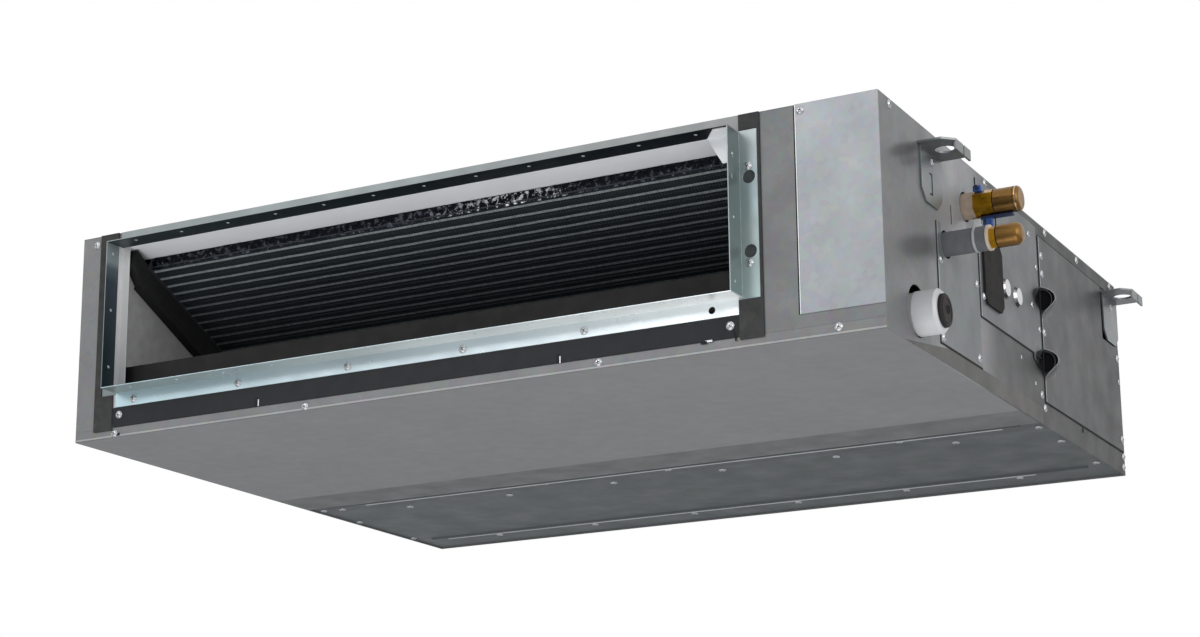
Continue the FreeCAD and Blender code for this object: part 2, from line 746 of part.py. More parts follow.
# Gusset in the collar's upper right corner
tab_east = collar_east - metal
tab_top = collar_high - metal
tab_flat = pressed(
    "tab_flat",
    "XY_Plane",
    (
        (tab_east - dim.tab_width / 2, lip_front + 4 * metal),
        (tab_east, lip_front + 4 * metal),
        (tab_east, front),
        (tab_east - dim.tab_width, front),
    ),
    metal,
    (0, 0, tab_top - metal),
)
tab_drop = pressed(
    "tab_drop",
    "XZ_Plane",
    (
        (tab_east, tab_top),
        (tab_east - dim.tab_width, tab_top),
        (tab_east - dim.tab_width / 2, tab_top - dim.tab_height * 0.7),
        (tab_east, tab_top - dim.tab_height * 0.7),
    ),
    metal,
    (0, front, 0),
)
keep("outlet_corner_tab", joined("corner_tab", tab_flat, tab_drop))

# Drain pan, which carries the coil
pan_west = left + dim.pan_side
pan_east = right - dim.pan_side
pan_start = front + dim.pan_front
pan_end = pan_start + dim.pan_depth
pan_low = floor_top * 1
pan_rim = pan_low + dim.pan_height + dim.pan_wall / 2
pan_bed = pan_low + dim.pan_floor
margin = dim.end_plate_margin
plate_along = dim.coil_length + 2 * margin
seat_across, seat_deep, seat_high = slope_place(pan_west, dim.coil_length + margin, -margin)

pan_block = between("pan_block", (pan_west, pan_start, pan_low), (pan_east, pan_end, pan_rim))
pan_front_wall = between(
    "pan_front_wall", (pan_west, pan_start, pan_low),
    (pan_east, pan_start + dim.pan_wall, pan_low + dim.pan_height + dim.pan_front_rise),
)
pan_well = between(
    "pan_well", (pan_west + dim.pan_wall, pan_start + dim.pan_wall, pan_bed),
    (pan_east - dim.pan_wall, pan_end - dim.pan_wall, top),
)
pan_seat = between(
    "pan_seat", (pan_west + dim.pan_wall / 2, seat_deep - dim.pan_seat_depth / 2, pan_bed - metal),
    (pan_east - dim.pan_wall / 2, seat_deep + dim.pan_seat_depth / 2, seat_high),
)
socket_deep = front + dim.socket_back
socket_high = dim.socket_height * 1
pan_bore = bar(
    "pan_bore", dim.socket_bore, 3 * dim.pan_wall, (pan_east - 2 * dim.pan_wall, socket_deep, socket_high), "X"
)
pan_shell = less("pan_shell", joined("pan_blank", pan_block, pan_front_wall), pan_well)
keep("drain_pan", less("pan", joined("pan_with_seat", pan_shell, pan_seat), pan_bore))

# Foam liner between the casing side and the air path
liner_low = pan_rim * 1
front_rim = pan_low + dim.pan_height + dim.pan_front_rise
liner_wall = pan_start + dim.pan_wall
slope_across, liner_top_deep, liner_top_high = slope_place(pan_west, 0 * metal, -metal)
end_across, liner_end_deep, liner_end_high = slope_place(pan_west, dim.seal_length * 0.9, -metal)
keep(
    "side_insulation_left",
    pressed(
        "liner_left",
        "YZ_Plane",
        (
            (inner_front, front_rim),
            (liner_wall, front_rim),
            (liner_wall, liner_low),
            (liner_end_deep, liner_low),
            (liner_end_deep, liner_end_high),
            (liner_top_deep, liner_top_high),
            (inner_front, liner_end - metal),
        ),
        dim.liner_side - dim.liner_left,
        (left + dim.liner_left, 0, 0),
    ),
)

# Coil: ridged fin block, end plates, return bends and seals
fins_west = left + dim.coil_left
fins_east = right - dim.coil_right
fins_across = fins_east - fins_west
fin_block = sloped_block(
    "fin_block",
    (fins_across, dim.coil_length, dim.coil_thickness - dim.fin_ridge_depth),
    (fins_west, 0 * metal, dim.fin_ridge_depth),
)
ridges = []
for index in range(int(dim.coil_length.value / dim.fin_ridge_pitch.value)):
    along = dim.fin_ridge_pitch * index
    ridges.append(
        sloped_block(
            "ridge_%d" % (index + 1),
            (fins_across, dim.fin_ridge_pitch * 0.6, 2 * dim.fin_ridge_depth),
            (fins_west, along, 0 * metal),
        )
    )
keep("coil_fins", joined("fins", fin_block, *ridges))

end_metal = dim.end_plate_thickness * 1
end_plates = []
for name, across in (("west_end_plate", fins_west - end_metal), ("east_end_plate", fins_east)):
    end_sizes = (end_metal, plate_along, dim.coil_thickness + 2 * margin)
    end_plates.append(sloped_block(name, end_sizes, (across, -margin, -margin)))
keep("coil_end_plates", group("end_plates", end_plates))

west_plate_face = fins_west - end_metal
east_plate_face = fins_east + end_metal
seals = []
for name, across in (("west_seal", west_plate_face - dim.seal_width), ("east_seal", east_plate_face)):
    seal_sizes = (dim.seal_width, dim.seal_length, dim.seal_depth)
    seals.append(sloped_block(name, seal_sizes, (across, 0 * metal, -dim.seal_depth)))
keep("coil_side_seals", group("side_seals", seals))


def sloped_frame(across, along, off):
    """The same place as a plain placement, for shapes worked out in code."""
    spot = Vector(*[float(part) for part in slope_place(across, along, off)])
    return Placement(spot, Rotation(Vector(-1, 0, 0), coil_slope.value))


def return_bend(across, along, way):
    """An eight-sided tube that leaves an end plate, turns round and comes back one bend further."""
    radius = dim.bend_radius.value
    stub = dim.bend_stub.value
    tube = dim.tube_radius.value
    path = [Vector(0, 0, 0)]
    steps = 4
    for step in range(steps + 1):
        angle = math.pi * step / steps
        path.append(Vector(way * (stub + radius * math.sin(angle)), radius * (1 - math.cos(angle)), 0))
    path.append(Vector(0, 2 * radius, 0))
    rim = [Vector(0, tube * math.cos(math.pi * k / 4), tube * math.sin(math.pi * k / 4)) for k in range(9)]
    bend = Part.makePolygon(path).makePipeShell([Part.makePolygon(rim)], True, False, 1)
    bend.Placement = sloped_frame(across, along, dim.tube_depth)
    return bend


bends = []
for index in range(int(dim.bend_count.value)):
    along = dim.bend_first + dim.tube_pitch * index
    bends.append(return_bend(west_plate_face, along, -1))
keep("coil_return_bends", fixed_shape("return_bends", Part.makeCompound(bends)))

# Gas header and pipe
header_across = east_plate_face + dim.header_offset
gas_deep = front + dim.gas_back
gas_high = top - dim.gas_drop
header = bar("header", dim.header_radius, dim.header_length, slope_place(
    header_across, dim.header_start, dim.tube_depth), "Y")
header_place = header.Placement
header_place.Rotation = Rotation(Vector(-1, 0, 0), coil_slope.value + 90)
header.Placement = header_place
header.setExpression("Placement.Rotation.Angle", "%s + 90" % coil_slope.text)
stubs = []
for index in range(int(dim.stub_count.value)):
    along = dim.header_start + dim.header_length / dim.stub_count * (index + 0.5)
    stub_start = slope_place(east_plate_face, along, dim.tube_depth)
    stubs.append(bar("stub_%d" % (index + 1), dim.tube_radius, dim.header_offset, stub_start, "X"))
riser_run = (gas_deep - front - dim.coil_front - sine(coil_slope) * dim.tube_depth) / cosine(coil_slope)
riser_low = slope_place(header_across, riser_run, dim.tube_depth)[2]
header_body = joined("header_body", header, *stubs)
gas_riser = bar("gas_riser", dim.gas_pipe_radius, gas_high - riser_low, (header_across, gas_deep, riser_low), "Z")
gas_corner = document.addObject("Part::Sphere", "gas_corner")
gas_corner.Radius = float(dim.gas_pipe_radius)
bind(gas_corner, "Radius", dim.gas_pipe_radius)
move(gas_corner, (header_across, gas_deep, gas_high))
gas_end = right + dim.gas_sleeve_reach + dim.gas_nut_length + dim.union_nose
gas_run = bar("gas_run", dim.gas_pipe_radius, gas_end - header_across, (header_across, gas_deep, gas_high), "X")
header_copy = bar("header_copy", dim.header_radius, dim.header_length, slope_place(
    header_across, dim.header_start, dim.tube_depth), "Y")
header_copy.Placement = header_place
header_copy.setExpression("Placement.Rotation.Angle", "%s + 90" % coil_slope.text)
keep("gas_header", header_body)
keep("gas_pipe", less("gas_line", joined("gas_line_blank", gas_riser, gas_corner, gas_run), header_copy))


def ring(name, outer, inner, length, start):
    """A tube along X."""
    bore_start = (start[0] - metal, start[1], start[2])
    return less(
        name,
        bar(name + "_outside", outer, length, start, "X"),
        bar(name + "_bore", inner, length + 2 * metal, bore_start, "X"),
    )


hex_corner = Size(2 / math.sqrt(3), "(2 / sqrt(3))")


def union_nut(name, across, length, nose, pipe, start):
    """A hexagonal union with the round nose that its cap screws onto."""
    nose_start = (start[0] + length, start[1], start[2])
    blank = joined(
        name + "_blank",
        hexagon(name + "_hex", across / 2 * hex_corner, length, start, "X"),
        bar(name + "_nose", nose, dim.union_nose, nose_start, "X"),
    )
    bore_start = (start[0] - metal, start[1], start[2])
    bore = bar(name + "_bore", pipe, length + dim.union_nose + 2 * metal, bore_start, "X")
    return less(name, blank, bore)


def domed_cap(name, radius, length, dome, nose, place):
    """A cap nut with a rounded end, hollow over the nose."""
    points = [(0 * metal, nose + dim.seat_gap), (0 * metal, radius), (length - dome, radius)]
    steps = 3
    for step in range(1, steps + 1):
        angle = math.radians(90 * step / (steps + 1))
        points.append((length - dome + dome * math.sin(angle), radius - dome + dome * math.cos(angle)))
    points.append((length * 1, radius - dome))
    points.append((length * 1, 0))
    points.append((dim.union_nose + dim.cap_wall, 0))
    points.append((dim.union_nose + dim.cap_wall, nose + dim.seat_gap))
    return turned(name, points, place)


gas_sleeve_start = right - dim.sleeve_inside
gas_sleeve_length = dim.sleeve_inside + dim.gas_sleeve_reach
keep("gas_insulation", ring("gas_sleeve", dim.gas_sleeve_radius, dim.gas_pipe_radius, gas_sleeve_length,
                            (gas_sleeve_start, gas_deep, gas_high)))
gas_nut_place = (right + dim.gas_sleeve_reach, gas_deep, gas_high)
gas_nose = dim.gas_cap_radius - dim.cap_wall - dim.seat_gap
keep("gas_union", union_nut(
    "gas_nut", dim.gas_nut_across, dim.gas_nut_length, gas_nose, dim.gas_pipe_radius, gas_nut_place))
gas_cap_place = (gas_nut_place[0] + dim.gas_nut_length, gas_deep, gas_high)
keep("gas_cap_nut", domed_cap(
    "gas_cap", dim.gas_cap_radius, dim.gas_cap_length, dim.gas_cap_round, gas_nose, gas_cap_place))

# Liquid pipe with its distributor
liquid_deep = front + dim.liquid_back
liquid_high = top - dim.liquid_drop
distributor_across = right - dim.distributor_side
sleeve_end = right + dim.liquid_sleeve_reach
second_start = sleeve_end + dim.tie_length
second_end = second_start + dim.liquid_second_sleeve
liquid_nut_start = second_end + dim.ring_length
liquid_end = liquid_nut_start + dim.liquid_nut_length + dim.union_nose
feed_run = (liquid_deep - front - dim.coil_front) / cosine(coil_slope)
feed_high = slope_place(east_plate_face, feed_run, dim.feed_off)[2]
distributor_low = liquid_high - dim.distributor_end
distributor_height = feed_high + dim.distributor_end - distributor_low
distributor_start = (distributor_across, liquid_deep, distributor_low)
distributor = bar("distributor", dim.distributor_radius, distributor_height, distributor_start, "Z")
feeds = []
for index in range(3):
    feed_start = slope_place(east_plate_face, feed_run + dim.feed_pitch * (index - 1), dim.feed_off)
    feed_length = distributor_across - east_plate_face
    feeds.append(bar("feed_%d" % (index + 1), dim.feed_radius, feed_length, feed_start, "X"))
keep("liquid_distributor", joined("distributor_body", distributor, *feeds))
distributor_copy = bar("distributor_copy", dim.distributor_radius, distributor_height, distributor_start, "Z")
liquid_run = bar("liquid_run", dim.liquid_pipe_radius, liquid_end - distributor_across, (
    distributor_across, liquid_deep, liquid_high), "X")
keep("liquid_pipe", less("liquid_line", liquid_run, distributor_copy))

sleeve_start = right - dim.sleeve_inside
first_sleeve = ring("first_sleeve", dim.liquid_sleeve_radius, dim.liquid_pipe_radius, sleeve_end - sleeve_start,
                    (sleeve_start, liquid_deep, liquid_high))
second_sleeve = ring("second_sleeve", dim.liquid_sleeve_radius, dim.liquid_pipe_radius,
                     dim.liquid_second_sleeve, (second_start, liquid_deep, liquid_high))
keep("liquid_insulation", group("liquid_sleeves", (first_sleeve, second_sleeve)))
tie_radius = dim.liquid_sleeve_radius + dim.tie_proud
tie = ring("tie", tie_radius, dim.liquid_pipe_radius, dim.tie_length, (sleeve_end, liquid_deep, liquid_high))
end_ring = ring("end_ring", tie_radius, dim.liquid_pipe_radius, dim.ring_length, (
    second_end, liquid_deep, liquid_high))
keep("pipe_ties", group("ties", (tie, end_ring)))
liquid_nut_place = (liquid_nut_start, liquid_deep, liquid_high)
liquid_nose = dim.liquid_cap_radius - dim.cap_wall - dim.seat_gap
keep("liquid_union", union_nut(
    "liquid_nut", dim.liquid_nut_across, dim.liquid_nut_length, liquid_nose, dim.liquid_pipe_radius,
    liquid_nut_place))
liquid_cap_place = (liquid_nut_start + dim.liquid_nut_length, liquid_deep, liquid_high)
keep("liquid_cap_nut", domed_cap(
    "liquid_cap", dim.liquid_cap_radius, dim.liquid_cap_length, dim.liquid_cap_round, liquid_nose,
    liquid_cap_place))

# Drain socket and its rubber plug
socket_length = dim.pan_side + dim.socket_reach
socket_end = pan_east + socket_length
socket_blank = turned(
    "socket_blank",
    (
        (0 * metal, dim.socket_bore),
        (0 * metal, dim.socket_radius - metal),
        (dim.pan_side + metal, dim.socket_radius - metal),
        (dim.pan_side + metal, dim.socket_radius),
        (socket_length - dim.socket_edge, dim.socket_radius),
        (socket_length, dim.socket_radius - dim.socket_edge),
        (socket_length, dim.socket_bore),
    ),
    (pan_east, socket_deep, socket_high),
)
keep("drain_socket", socket_blank)
plug_stem_radius = dim.socket_bore - dim.seat_gap
keep("drain_plug", turned(
    "plug",
    (
        (-dim.plug_stem, 0),
        (-dim.plug_stem, plug_stem_radius),
        (0 * metal, plug_stem_radius),
        (0 * metal, dim.plug_radius),
        (dim.plug_head - metal, dim.plug_radius),
        (dim.plug_head * 1, dim.plug_radius - metal),
        (dim.plug_head * 1, 0),
    ),
    (socket_end, socket_deep, socket_high),
))

# Right side panel with its openings
access_start = front + dim.access_back
access_low = dim.access_bottom * 1
access_high = top - dim.access_drop
pipe_plate_start = access_start + dim.access_width + dim.pipe_plate_gap
pipe_plate_low = dim.pipe_plate_bottom * 1
cover_start = pan_end + dim.deck_gap + metal + dim.cover_gap
cover_low = dim.cover_bottom * 1
pipe_plate_end = cover_start - dim.pipe_plate_rear
pipe_plate_high = top - dim.pipe_plate_drop
inset = dim.cover_margin * 1
cut_west = inner_right - metal
cut_east = right + metal

right_sheet = between("right_sheet", (inner_right, inner_front, 0 * metal), (right, inner_back, under_top))
right_strip = between(
    "right_strip", (right - dim.right_return, front, dim.bottom_hem), (right, inner_front, under_top)
)
hollows = []
hollow_tools = []
hood_highs = (("upper", dim.hood_upper * 1), ("lower", dim.hood_lower * 1))
for name, high in hood_highs:
    hollow_start = (right * 1, cover_start - dim.dimple_length, high)
    hollows.append(cone(name + "_hollow", 2 * metal, dim.hood_radius, dim.dimple_length, hollow_start, "Y"))
    hollow_tools.append(
        cone(name + "_hollow_tool", metal, dim.hood_radius - metal, dim.dimple_length, hollow_start, "Y")
    )
outside = between(
    "outside", (right, front, 0 * metal), (right + dim.casing_height, back, top)
)
socket_hole = bar("socket_hole", dim.socket_hole_radius, 3 * metal, (
    cut_west, socket_deep, socket_high + dim.socket_hole_rise), "X")
gas_hole = bar("gas_hole", dim.gas_sleeve_radius + dim.pipe_hole_gap, 3 * metal, (
    cut_west, gas_deep, gas_high), "X")
liquid_hole = bar("liquid_hole", dim.liquid_sleeve_radius + dim.pipe_hole_gap, 3 * metal, (
    cut_west, liquid_deep, liquid_high), "X")
access_hole = between(
    "access_hole", (cut_west, access_start + inset, access_low + inset),
    (cut_east, access_start + dim.access_width - inset,
     access_high - dim.access_top_margin),
)
pipe_plate_hole = between(
    "pipe_plate_hole", (cut_west, pipe_plate_start + inset, pipe_plate_low + inset),
    (cut_east, pipe_plate_end - inset, pipe_plate_high - inset),
)
box_start = cover_start + dim.box_inset
box_end = back - dim.cover_rear - dim.box_inset
box_low = cover_low + dim.box_inset
box_high = top - dim.cover_drop - dim.box_inset
box_hole = between(
    "box_hole", (cut_west, box_start + metal, box_low + metal), (cut_east, box_end - metal, box_high - metal)
)
right_blank = joined("right_blank", right_sheet, right_strip, *hollows)
keep("right_side_panel", less(
    "right_wall", right_blank, outside, socket_hole, gas_hole, liquid_hole, access_hole, pipe_plate_hole,
    box_hole, *hollow_tools))

# Covers of the right side
access_sheet = between(
    "access_sheet", (right, access_start, access_low),
    (right + metal, access_start + dim.access_width, access_high),
)
notch_radius = dim.liquid_sleeve_radius + dim.pipe_hole_gap
access_notch = bar("access_notch", notch_radius, 3 * metal, (inner_right, liquid_deep, liquid_high), "X")
access_slot = between(
    "access_slot", (inner_right, liquid_deep - notch_radius, liquid_high),
    (right + 2 * metal, liquid_deep + notch_radius, access_high + metal),
)
keep("drain_access_cover", less("access_cover", access_sheet, access_notch, access_slot))

disc_deep = pipe_plate_start + dim.disc_inset
disc_high = dim.disc_height * 1
plate_sheet = between(
    "plate_sheet", (right, pipe_plate_start, pipe_plate_low), (right + metal, pipe_plate_end, pipe_plate_high)
)
disc_holes = round_row("disc_hole", dim.disc_radius - 2 * metal, 3 * metal, (
    inner_right, disc_deep, disc_high), "X", 1, dim.disc_spacing, Size(2, "2"))
plate_notches = []
for name, high in hood_highs:
    hollow_start = (right * 1, cover_start - dim.dimple_length, high)
    plate_notches.append(
        cone(name + "_plate_notch", 3 * metal, dim.hood_radius + metal, dim.dimple_length, hollow_start, "Y")
    )
keep("pipe_cover_plate", less("pipe_plate", plate_sheet, *disc_holes, *plate_notches))
discs = []
for index in range(2):
    discs.append(turned(
        "disc_%d" % (index + 1),
        (
            (-metal, 0),
            (-metal, dim.disc_radius - 2 * metal),
            (0 * metal, dim.disc_radius - 2 * metal),
            (0 * metal, dim.disc_radius),
            (dim.disc_dome * 1, dim.disc_radius - 3 * metal),
            (dim.disc_dome * 1, 0),
        ),
        (right + metal, disc_deep + dim.disc_spacing * index, disc_high),
    ))
keep("knockout_plugs", group("plugs", discs))

pad_start = pipe_plate_start + dim.pad_inset
pad_end = pad_start + dim.pad_width
pad_low = dim.pad_bottom * 1
pad_high = pad_low + dim.pad_height
cut = dim.pad_corner * 1
keep("service_port_pad", pressed(
    "pad",
    "YZ_Plane",
    (
        (pad_start + cut, pad_low),
        (pad_end - cut, pad_low),
        (pad_end, pad_low + cut),
        (pad_end, pad_high - cut),
        (pad_end - cut, pad_high),
        (pad_start + cut, pad_high),
        (pad_start, pad_high - cut),
        (pad_start, pad_low + cut),
    ),
    dim.pad_proud,
    (right + metal, 0, 0),
))

cover_end = back - dim.cover_rear
cover_high = top - dim.cover_drop
cover_sheet = between("cover_sheet", (right, cover_start, cover_low), (right + metal, cover_end, cover_high))
cover_notch = between(
    "cover_notch", (inner_right, cover_end - dim.cover_notch_depth, cover_high - dim.cover_notch_height),
    (right + 2 * metal, cover_end + metal, cover_high + metal),
)
hoods = []
hood_tools = []
for name, high in hood_highs:
    hood_start = (right * 1, cover_start, high)
    hoods.append(cone(name + "_hood", dim.hood_radius, 2 * metal, dim.hood_length, hood_start, "Y"))
    hood_tools.append(
        cone(name + "_hood_tool", dim.hood_radius - metal, metal, dim.hood_length, hood_start, "Y")
    )
inside = between(
    "inside", (right - dim.casing_height, front, 0 * metal), (right, back, top)
)
cover_blank = joined("cover_blank", cover_sheet, *hoods)
keep("control_box_cover", less("electrical_cover", cover_blank, inside, cover_notch, *hood_tools))

# Electrical box behind that cover
box_west = inner_right - dim.box_reach
box_body = between("box_body", (box_west, box_start, box_low), (inner_right, box_end, box_high))
box_space = between(
    "box_space", (box_west + metal, box_start + metal, box_low + metal),
    (inner_right + metal, box_end - metal, box_high - metal),
)
keep("control_box", less("electrical_box", box_body, box_space))
board_west = box_west + metal + dim.board_gap
board_start = box_start + dim.board_margin
board_end = box_end - dim.board_margin
board_low = box_low + dim.board_margin
board_high = box_high - dim.board_margin
board = between(
    "board", (board_west, board_start, board_low), (board_west + dim.board_thickness, board_end, board_high)
)
posts = []
for index, (deep, high) in enumerate((
    (board_start + inset, board_low + inset),
    (board_end - inset, board_low + inset),
    (board_start + inset, board_high - inset),
    (board_end - inset, board_high - inset),
)):
    posts.append(bar("post_%d" % (index + 1), 3 * metal, dim.board_gap, (box_west + metal, deep, high), "X"))
keep("control_board", joined("board_with_posts", board, *posts))
terminal_west = board_west + dim.board_thickness + dim.board_gap
keep("terminal_block", between(
    "terminals", (terminal_west, box_start + metal, board_low),
    (terminal_west + dim.terminal_width, box_start + metal + dim.terminal_depth,
     board_low + dim.terminal_length),
))

# Fan deck, partition and return air frame
deck_front = pan_end + dim.deck_gap
deck_rear = deck_front + metal
axis_deep = deck_rear + dim.fan_axis_run
axis_high = dim.fan_axis_height * 1
motor_middle = left + dim.fan_middle
fan_middles = (("left", motor_middle - dim.fan_spread), ("right", motor_middle + dim.fan_spread))
scroll_end = under_top - dim.scroll_gap - axis_high
scroll_start = scroll_end - dim.scroll_growth
wheel_radius = scroll_start - dim.wheel_gap
wheel_inner = wheel_radius - dim.blade_ring
scroll_mouth = wheel_inner - dim.mouth_gap
throat_high = axis_high + scroll_end
throat_low = axis_high + scroll_start * math.cos(math.radians(360 - dim.scroll_sweep.value))
half_scroll = dim.scroll_width / 2
deck_sheet = between("deck_sheet", (inner_left, deck_front, panel_top), (inner_right, deck_rear, under_top))
deck_tools = []
for name, middle in fan_middles:
    deck_tools.append(between(
        name + "_deck_hole",
        (middle - half_scroll + dim.scroll_wall, deck_front - metal, throat_low),
        (middle + half_scroll - dim.scroll_wall, deck_rear + metal, throat_high),
    ))
for name, high in hood_highs:
    notch_start = (right * 1, deck_front - metal, high)
    deck_tools.append(bar(name + "_deck_notch", dim.hood_radius, 3 * metal, notch_start, "Y"))
deck_foot = between(
    "deck_foot", (inner_left, deck_front - metal, pan_low - metal), (inner_right, deck_rear + metal, floor_top)
)
keep("fan_deck", less("deck", deck_sheet, deck_foot, *deck_tools))

room_end = right - dim.deck_right
room_wall = between("room_wall", (room_end, deck_rear, panel_top), (room_end + metal, inner_back, under_top))
room_foot = between(
    "room_foot", (room_end - metal, deck_front, 0 * metal), (room_end + 2 * metal, strip_back, floor_top)
)
keep("partition", less("room", room_wall, room_foot))

inlet_west = left + dim.inlet_side
inlet_east = room_end - dim.inlet_gap
inlet_low = dim.inlet_bottom * 1
inlet_high = top - dim.inlet_drop
tube_front = back - dim.inlet_tube
back_sheet = between("back_sheet", (left, inner_back, 0 * metal), (right, back, under_top))
inlet_tube = between(
    "inlet_tube", (inlet_west - metal, tube_front, inlet_low - metal),
    (inlet_east + metal, back, inlet_high + metal),
)
inlet_stop = dim.guide_width * 1
inlet_mouth = between(
    "inlet_mouth", (inlet_west + inlet_stop, tube_front - metal, inlet_low + inlet_stop),
    (inlet_east - inlet_stop, back + metal, inlet_high - inlet_stop),
)
inlet_room = between(
    "inlet_room", (inlet_west, tube_front + metal, inlet_low), (inlet_east, back + metal, inlet_high)
)
back_blank = joined("back_blank", back_sheet, inlet_tube)
keep("inlet_frame", less("return_frame", back_blank, inlet_mouth, inlet_room))

# Return air filter, which slides out of that frame
gap = dim.seat_gap * 1
filter_front = tube_front + metal
filter_back = filter_front + dim.filter_thickness
filter_plate = between(
    "filter_plate", (inlet_west + gap, filter_front, inlet_low + gap),
    (inlet_east - gap, filter_back, inlet_high - gap),
)
border = dim.filter_frame * 1
filter_windows = []
window_count = int(dim.filter_bars.value) + 1
window_room = (inlet_east - inlet_west - 2 * gap - border) / window_count
for index in range(window_count):
    window_start = inlet_west + gap + border + window_room * index
    filter_windows.append(between(
        "window_%d" % (index + 1), (window_start, filter_front + 2 * metal, inlet_low + gap + border),
        (window_start + window_room - border, filter_back + metal, inlet_high - gap - border),
    ))
keep("air_filter", less("filter", filter_plate, *filter_windows))


def scroll_outline(extra):
    """The fan housing's side outline, its walls moved out by a given amount."""
    start = scroll_start.value + extra
    end = scroll_end.value + extra
    sweep = dim.scroll_sweep.value
    deep = axis_deep.value
    high = axis_high.value
    steps = 20
    points = []
    for step in range(steps + 1):
        angle = math.radians(sweep * step / steps)
        radius = end + (start - end) * step / steps
        points.append(Vector(0, deep + radius * math.sin(angle), high + radius * math.cos(angle)))
    throat = deck_rear.value
    points.append(Vector(0, throat, points[-1].z))
    points.append(Vector(0, throat, points[0].z))
    points.append(points[0])
    return points


def prism(points, start, length):
    """A solid of an upright outline, drawn out along X."""
    face = Part.Face(Part.makePolygon(points))
    solid = face.extrude(Vector(length, 0, 0))
    solid.translate(Vector(start, 0, 0))
    return solid


def scroll_housing(middle):
    """A spiral housing with an inlet on each side and its outlet at the deck."""
    wall = dim.scroll_wall.value
    width = dim.scroll_width.value
    start = middle.value - width / 2
    shell = prism(scroll_outline(wall), start, width)
    room = prism(scroll_outline(0), start + wall, width - 2 * wall)
    axis = Vector(start - width, axis_deep.value, axis_high.value)
    mouth = Part.makeCylinder(scroll_mouth.value, 3 * width, axis, Vector(1, 0, 0))
    lips = []
    for side in (start - dim.mouth_lip.value, start + width):
        place = Vector(side, axis_deep.value, axis_high.value)
        radius = scroll_mouth.value + wall
        lips.append(Part.makeCylinder(radius, dim.mouth_lip.value, place, Vector(1, 0, 0)))
    return shell.fuse(lips).cut([room, mouth]).removeSplitter()


for name, middle in fan_middles:
    keep("fan_housing_" + name, fixed_shape(name + "_housing", scroll_housing(middle)))


def many_sided(name, radius, length, start):
    """A bar along X with as many sides as the wheel has blades."""
    solid = hexagon(name, radius, length, start, "X")
    solid.Polygon = int(dim.blade_count.value)
    solid.setExpression("Polygon", dim.blade_count.text)
    return solid


def wheel_ring(name, start):
    """One end ring of a wheel."""
    hollow_start = (start[0] - metal, start[1], start[2])
    return less(
        name,
        many_sided(name + "_outside", wheel_radius, dim.wheel_ring, start),
        many_sided(name + "_inside", wheel_inner, dim.wheel_ring + 2 * metal, hollow_start),
    )


def fan_wheel(name, middle):
    """A double inlet wheel: two end rings, a middle disc with its hub, and leaning blades."""
    half = dim.wheel_width / 2
    axis = (axis_deep, axis_high)
    pieces = [
        many_sided(name + "_disc", wheel_radius - dim.wheel_ring, dim.wheel_disc,
                   (middle - dim.wheel_disc / 2, *axis)),
        bar(name + "_hub", dim.hub_radius, dim.hub_length, (middle - dim.hub_length / 2, *axis), "X"),
        wheel_ring(name + "_ring_near", (middle - half, *axis)),
        wheel_ring(name + "_ring_far", (middle + half - dim.wheel_ring, *axis)),
    ]
    count = int(dim.blade_count.value)
    centre = Placement(Vector(middle.value, axis_deep.value, axis_high.value), Rotation())
    blade_middle = (wheel_radius.value + wheel_inner.value) / 2
    blade_length = dim.wheel_width - dim.wheel_ring
    corner = Vector(-blade_length.value / 2, -dim.blade_chord.value / 2, -dim.blade_thickness.value / 2)
    for index in range(count):
        blade = block("%s_blade_%d" % (name, index + 1), (
            blade_length, dim.blade_chord, dim.blade_thickness), (0, 0, 0))
        turn = Placement(Vector(), Rotation(Vector(1, 0, 0), 360 * index / count))
        lean = Placement(Vector(0, blade_middle, 0), Rotation(Vector(1, 0, 0), dim.blade_lean.value))
        blade.Placement = centre * turn * lean * Placement(corner, Rotation())
        pieces.append(blade)
    shaft_hole = bar(name + "_shaft_hole", dim.shaft_radius, dim.wheel_width, (middle - half, *axis), "X")
    return less(name, joined(name + "_blank", *pieces), shaft_hole)


for name, middle in fan_middles:
    keep("fan_wheel_" + name, fan_wheel(name + "_wheel", middle))

shaft_start = motor_middle - dim.fan_spread - dim.shaft_overhang
shaft_length = 2 * (dim.fan_spread + dim.shaft_overhang)
keep("motor_shaft", bar("shaft", dim.shaft_radius, shaft_length, (shaft_start, axis_deep, axis_high), "X"))

# Fan motor and the cradle that holds it to the deck
motor_start = motor_middle - dim.motor_length / 2
boss_start = motor_start - dim.motor_boss
motor_blank = joined(
    "motor_blank",
    bar("motor_can", dim.motor_radius, dim.motor_length, (motor_start, axis_deep, axis_high), "X"),
    bar("motor_bosses", dim.motor_boss_radius, dim.motor_length + 2 * dim.motor_boss,
        (boss_start, axis_deep, axis_high), "X"),
)
motor_bore = bar(
    "motor_bore", dim.shaft_radius + dim.shaft_running_gap, dim.motor_length + 4 * dim.motor_boss,
    (boss_start - dim.motor_boss, axis_deep, axis_high), "X",
)
keep("fan_motor", less("motor", motor_blank, motor_bore))

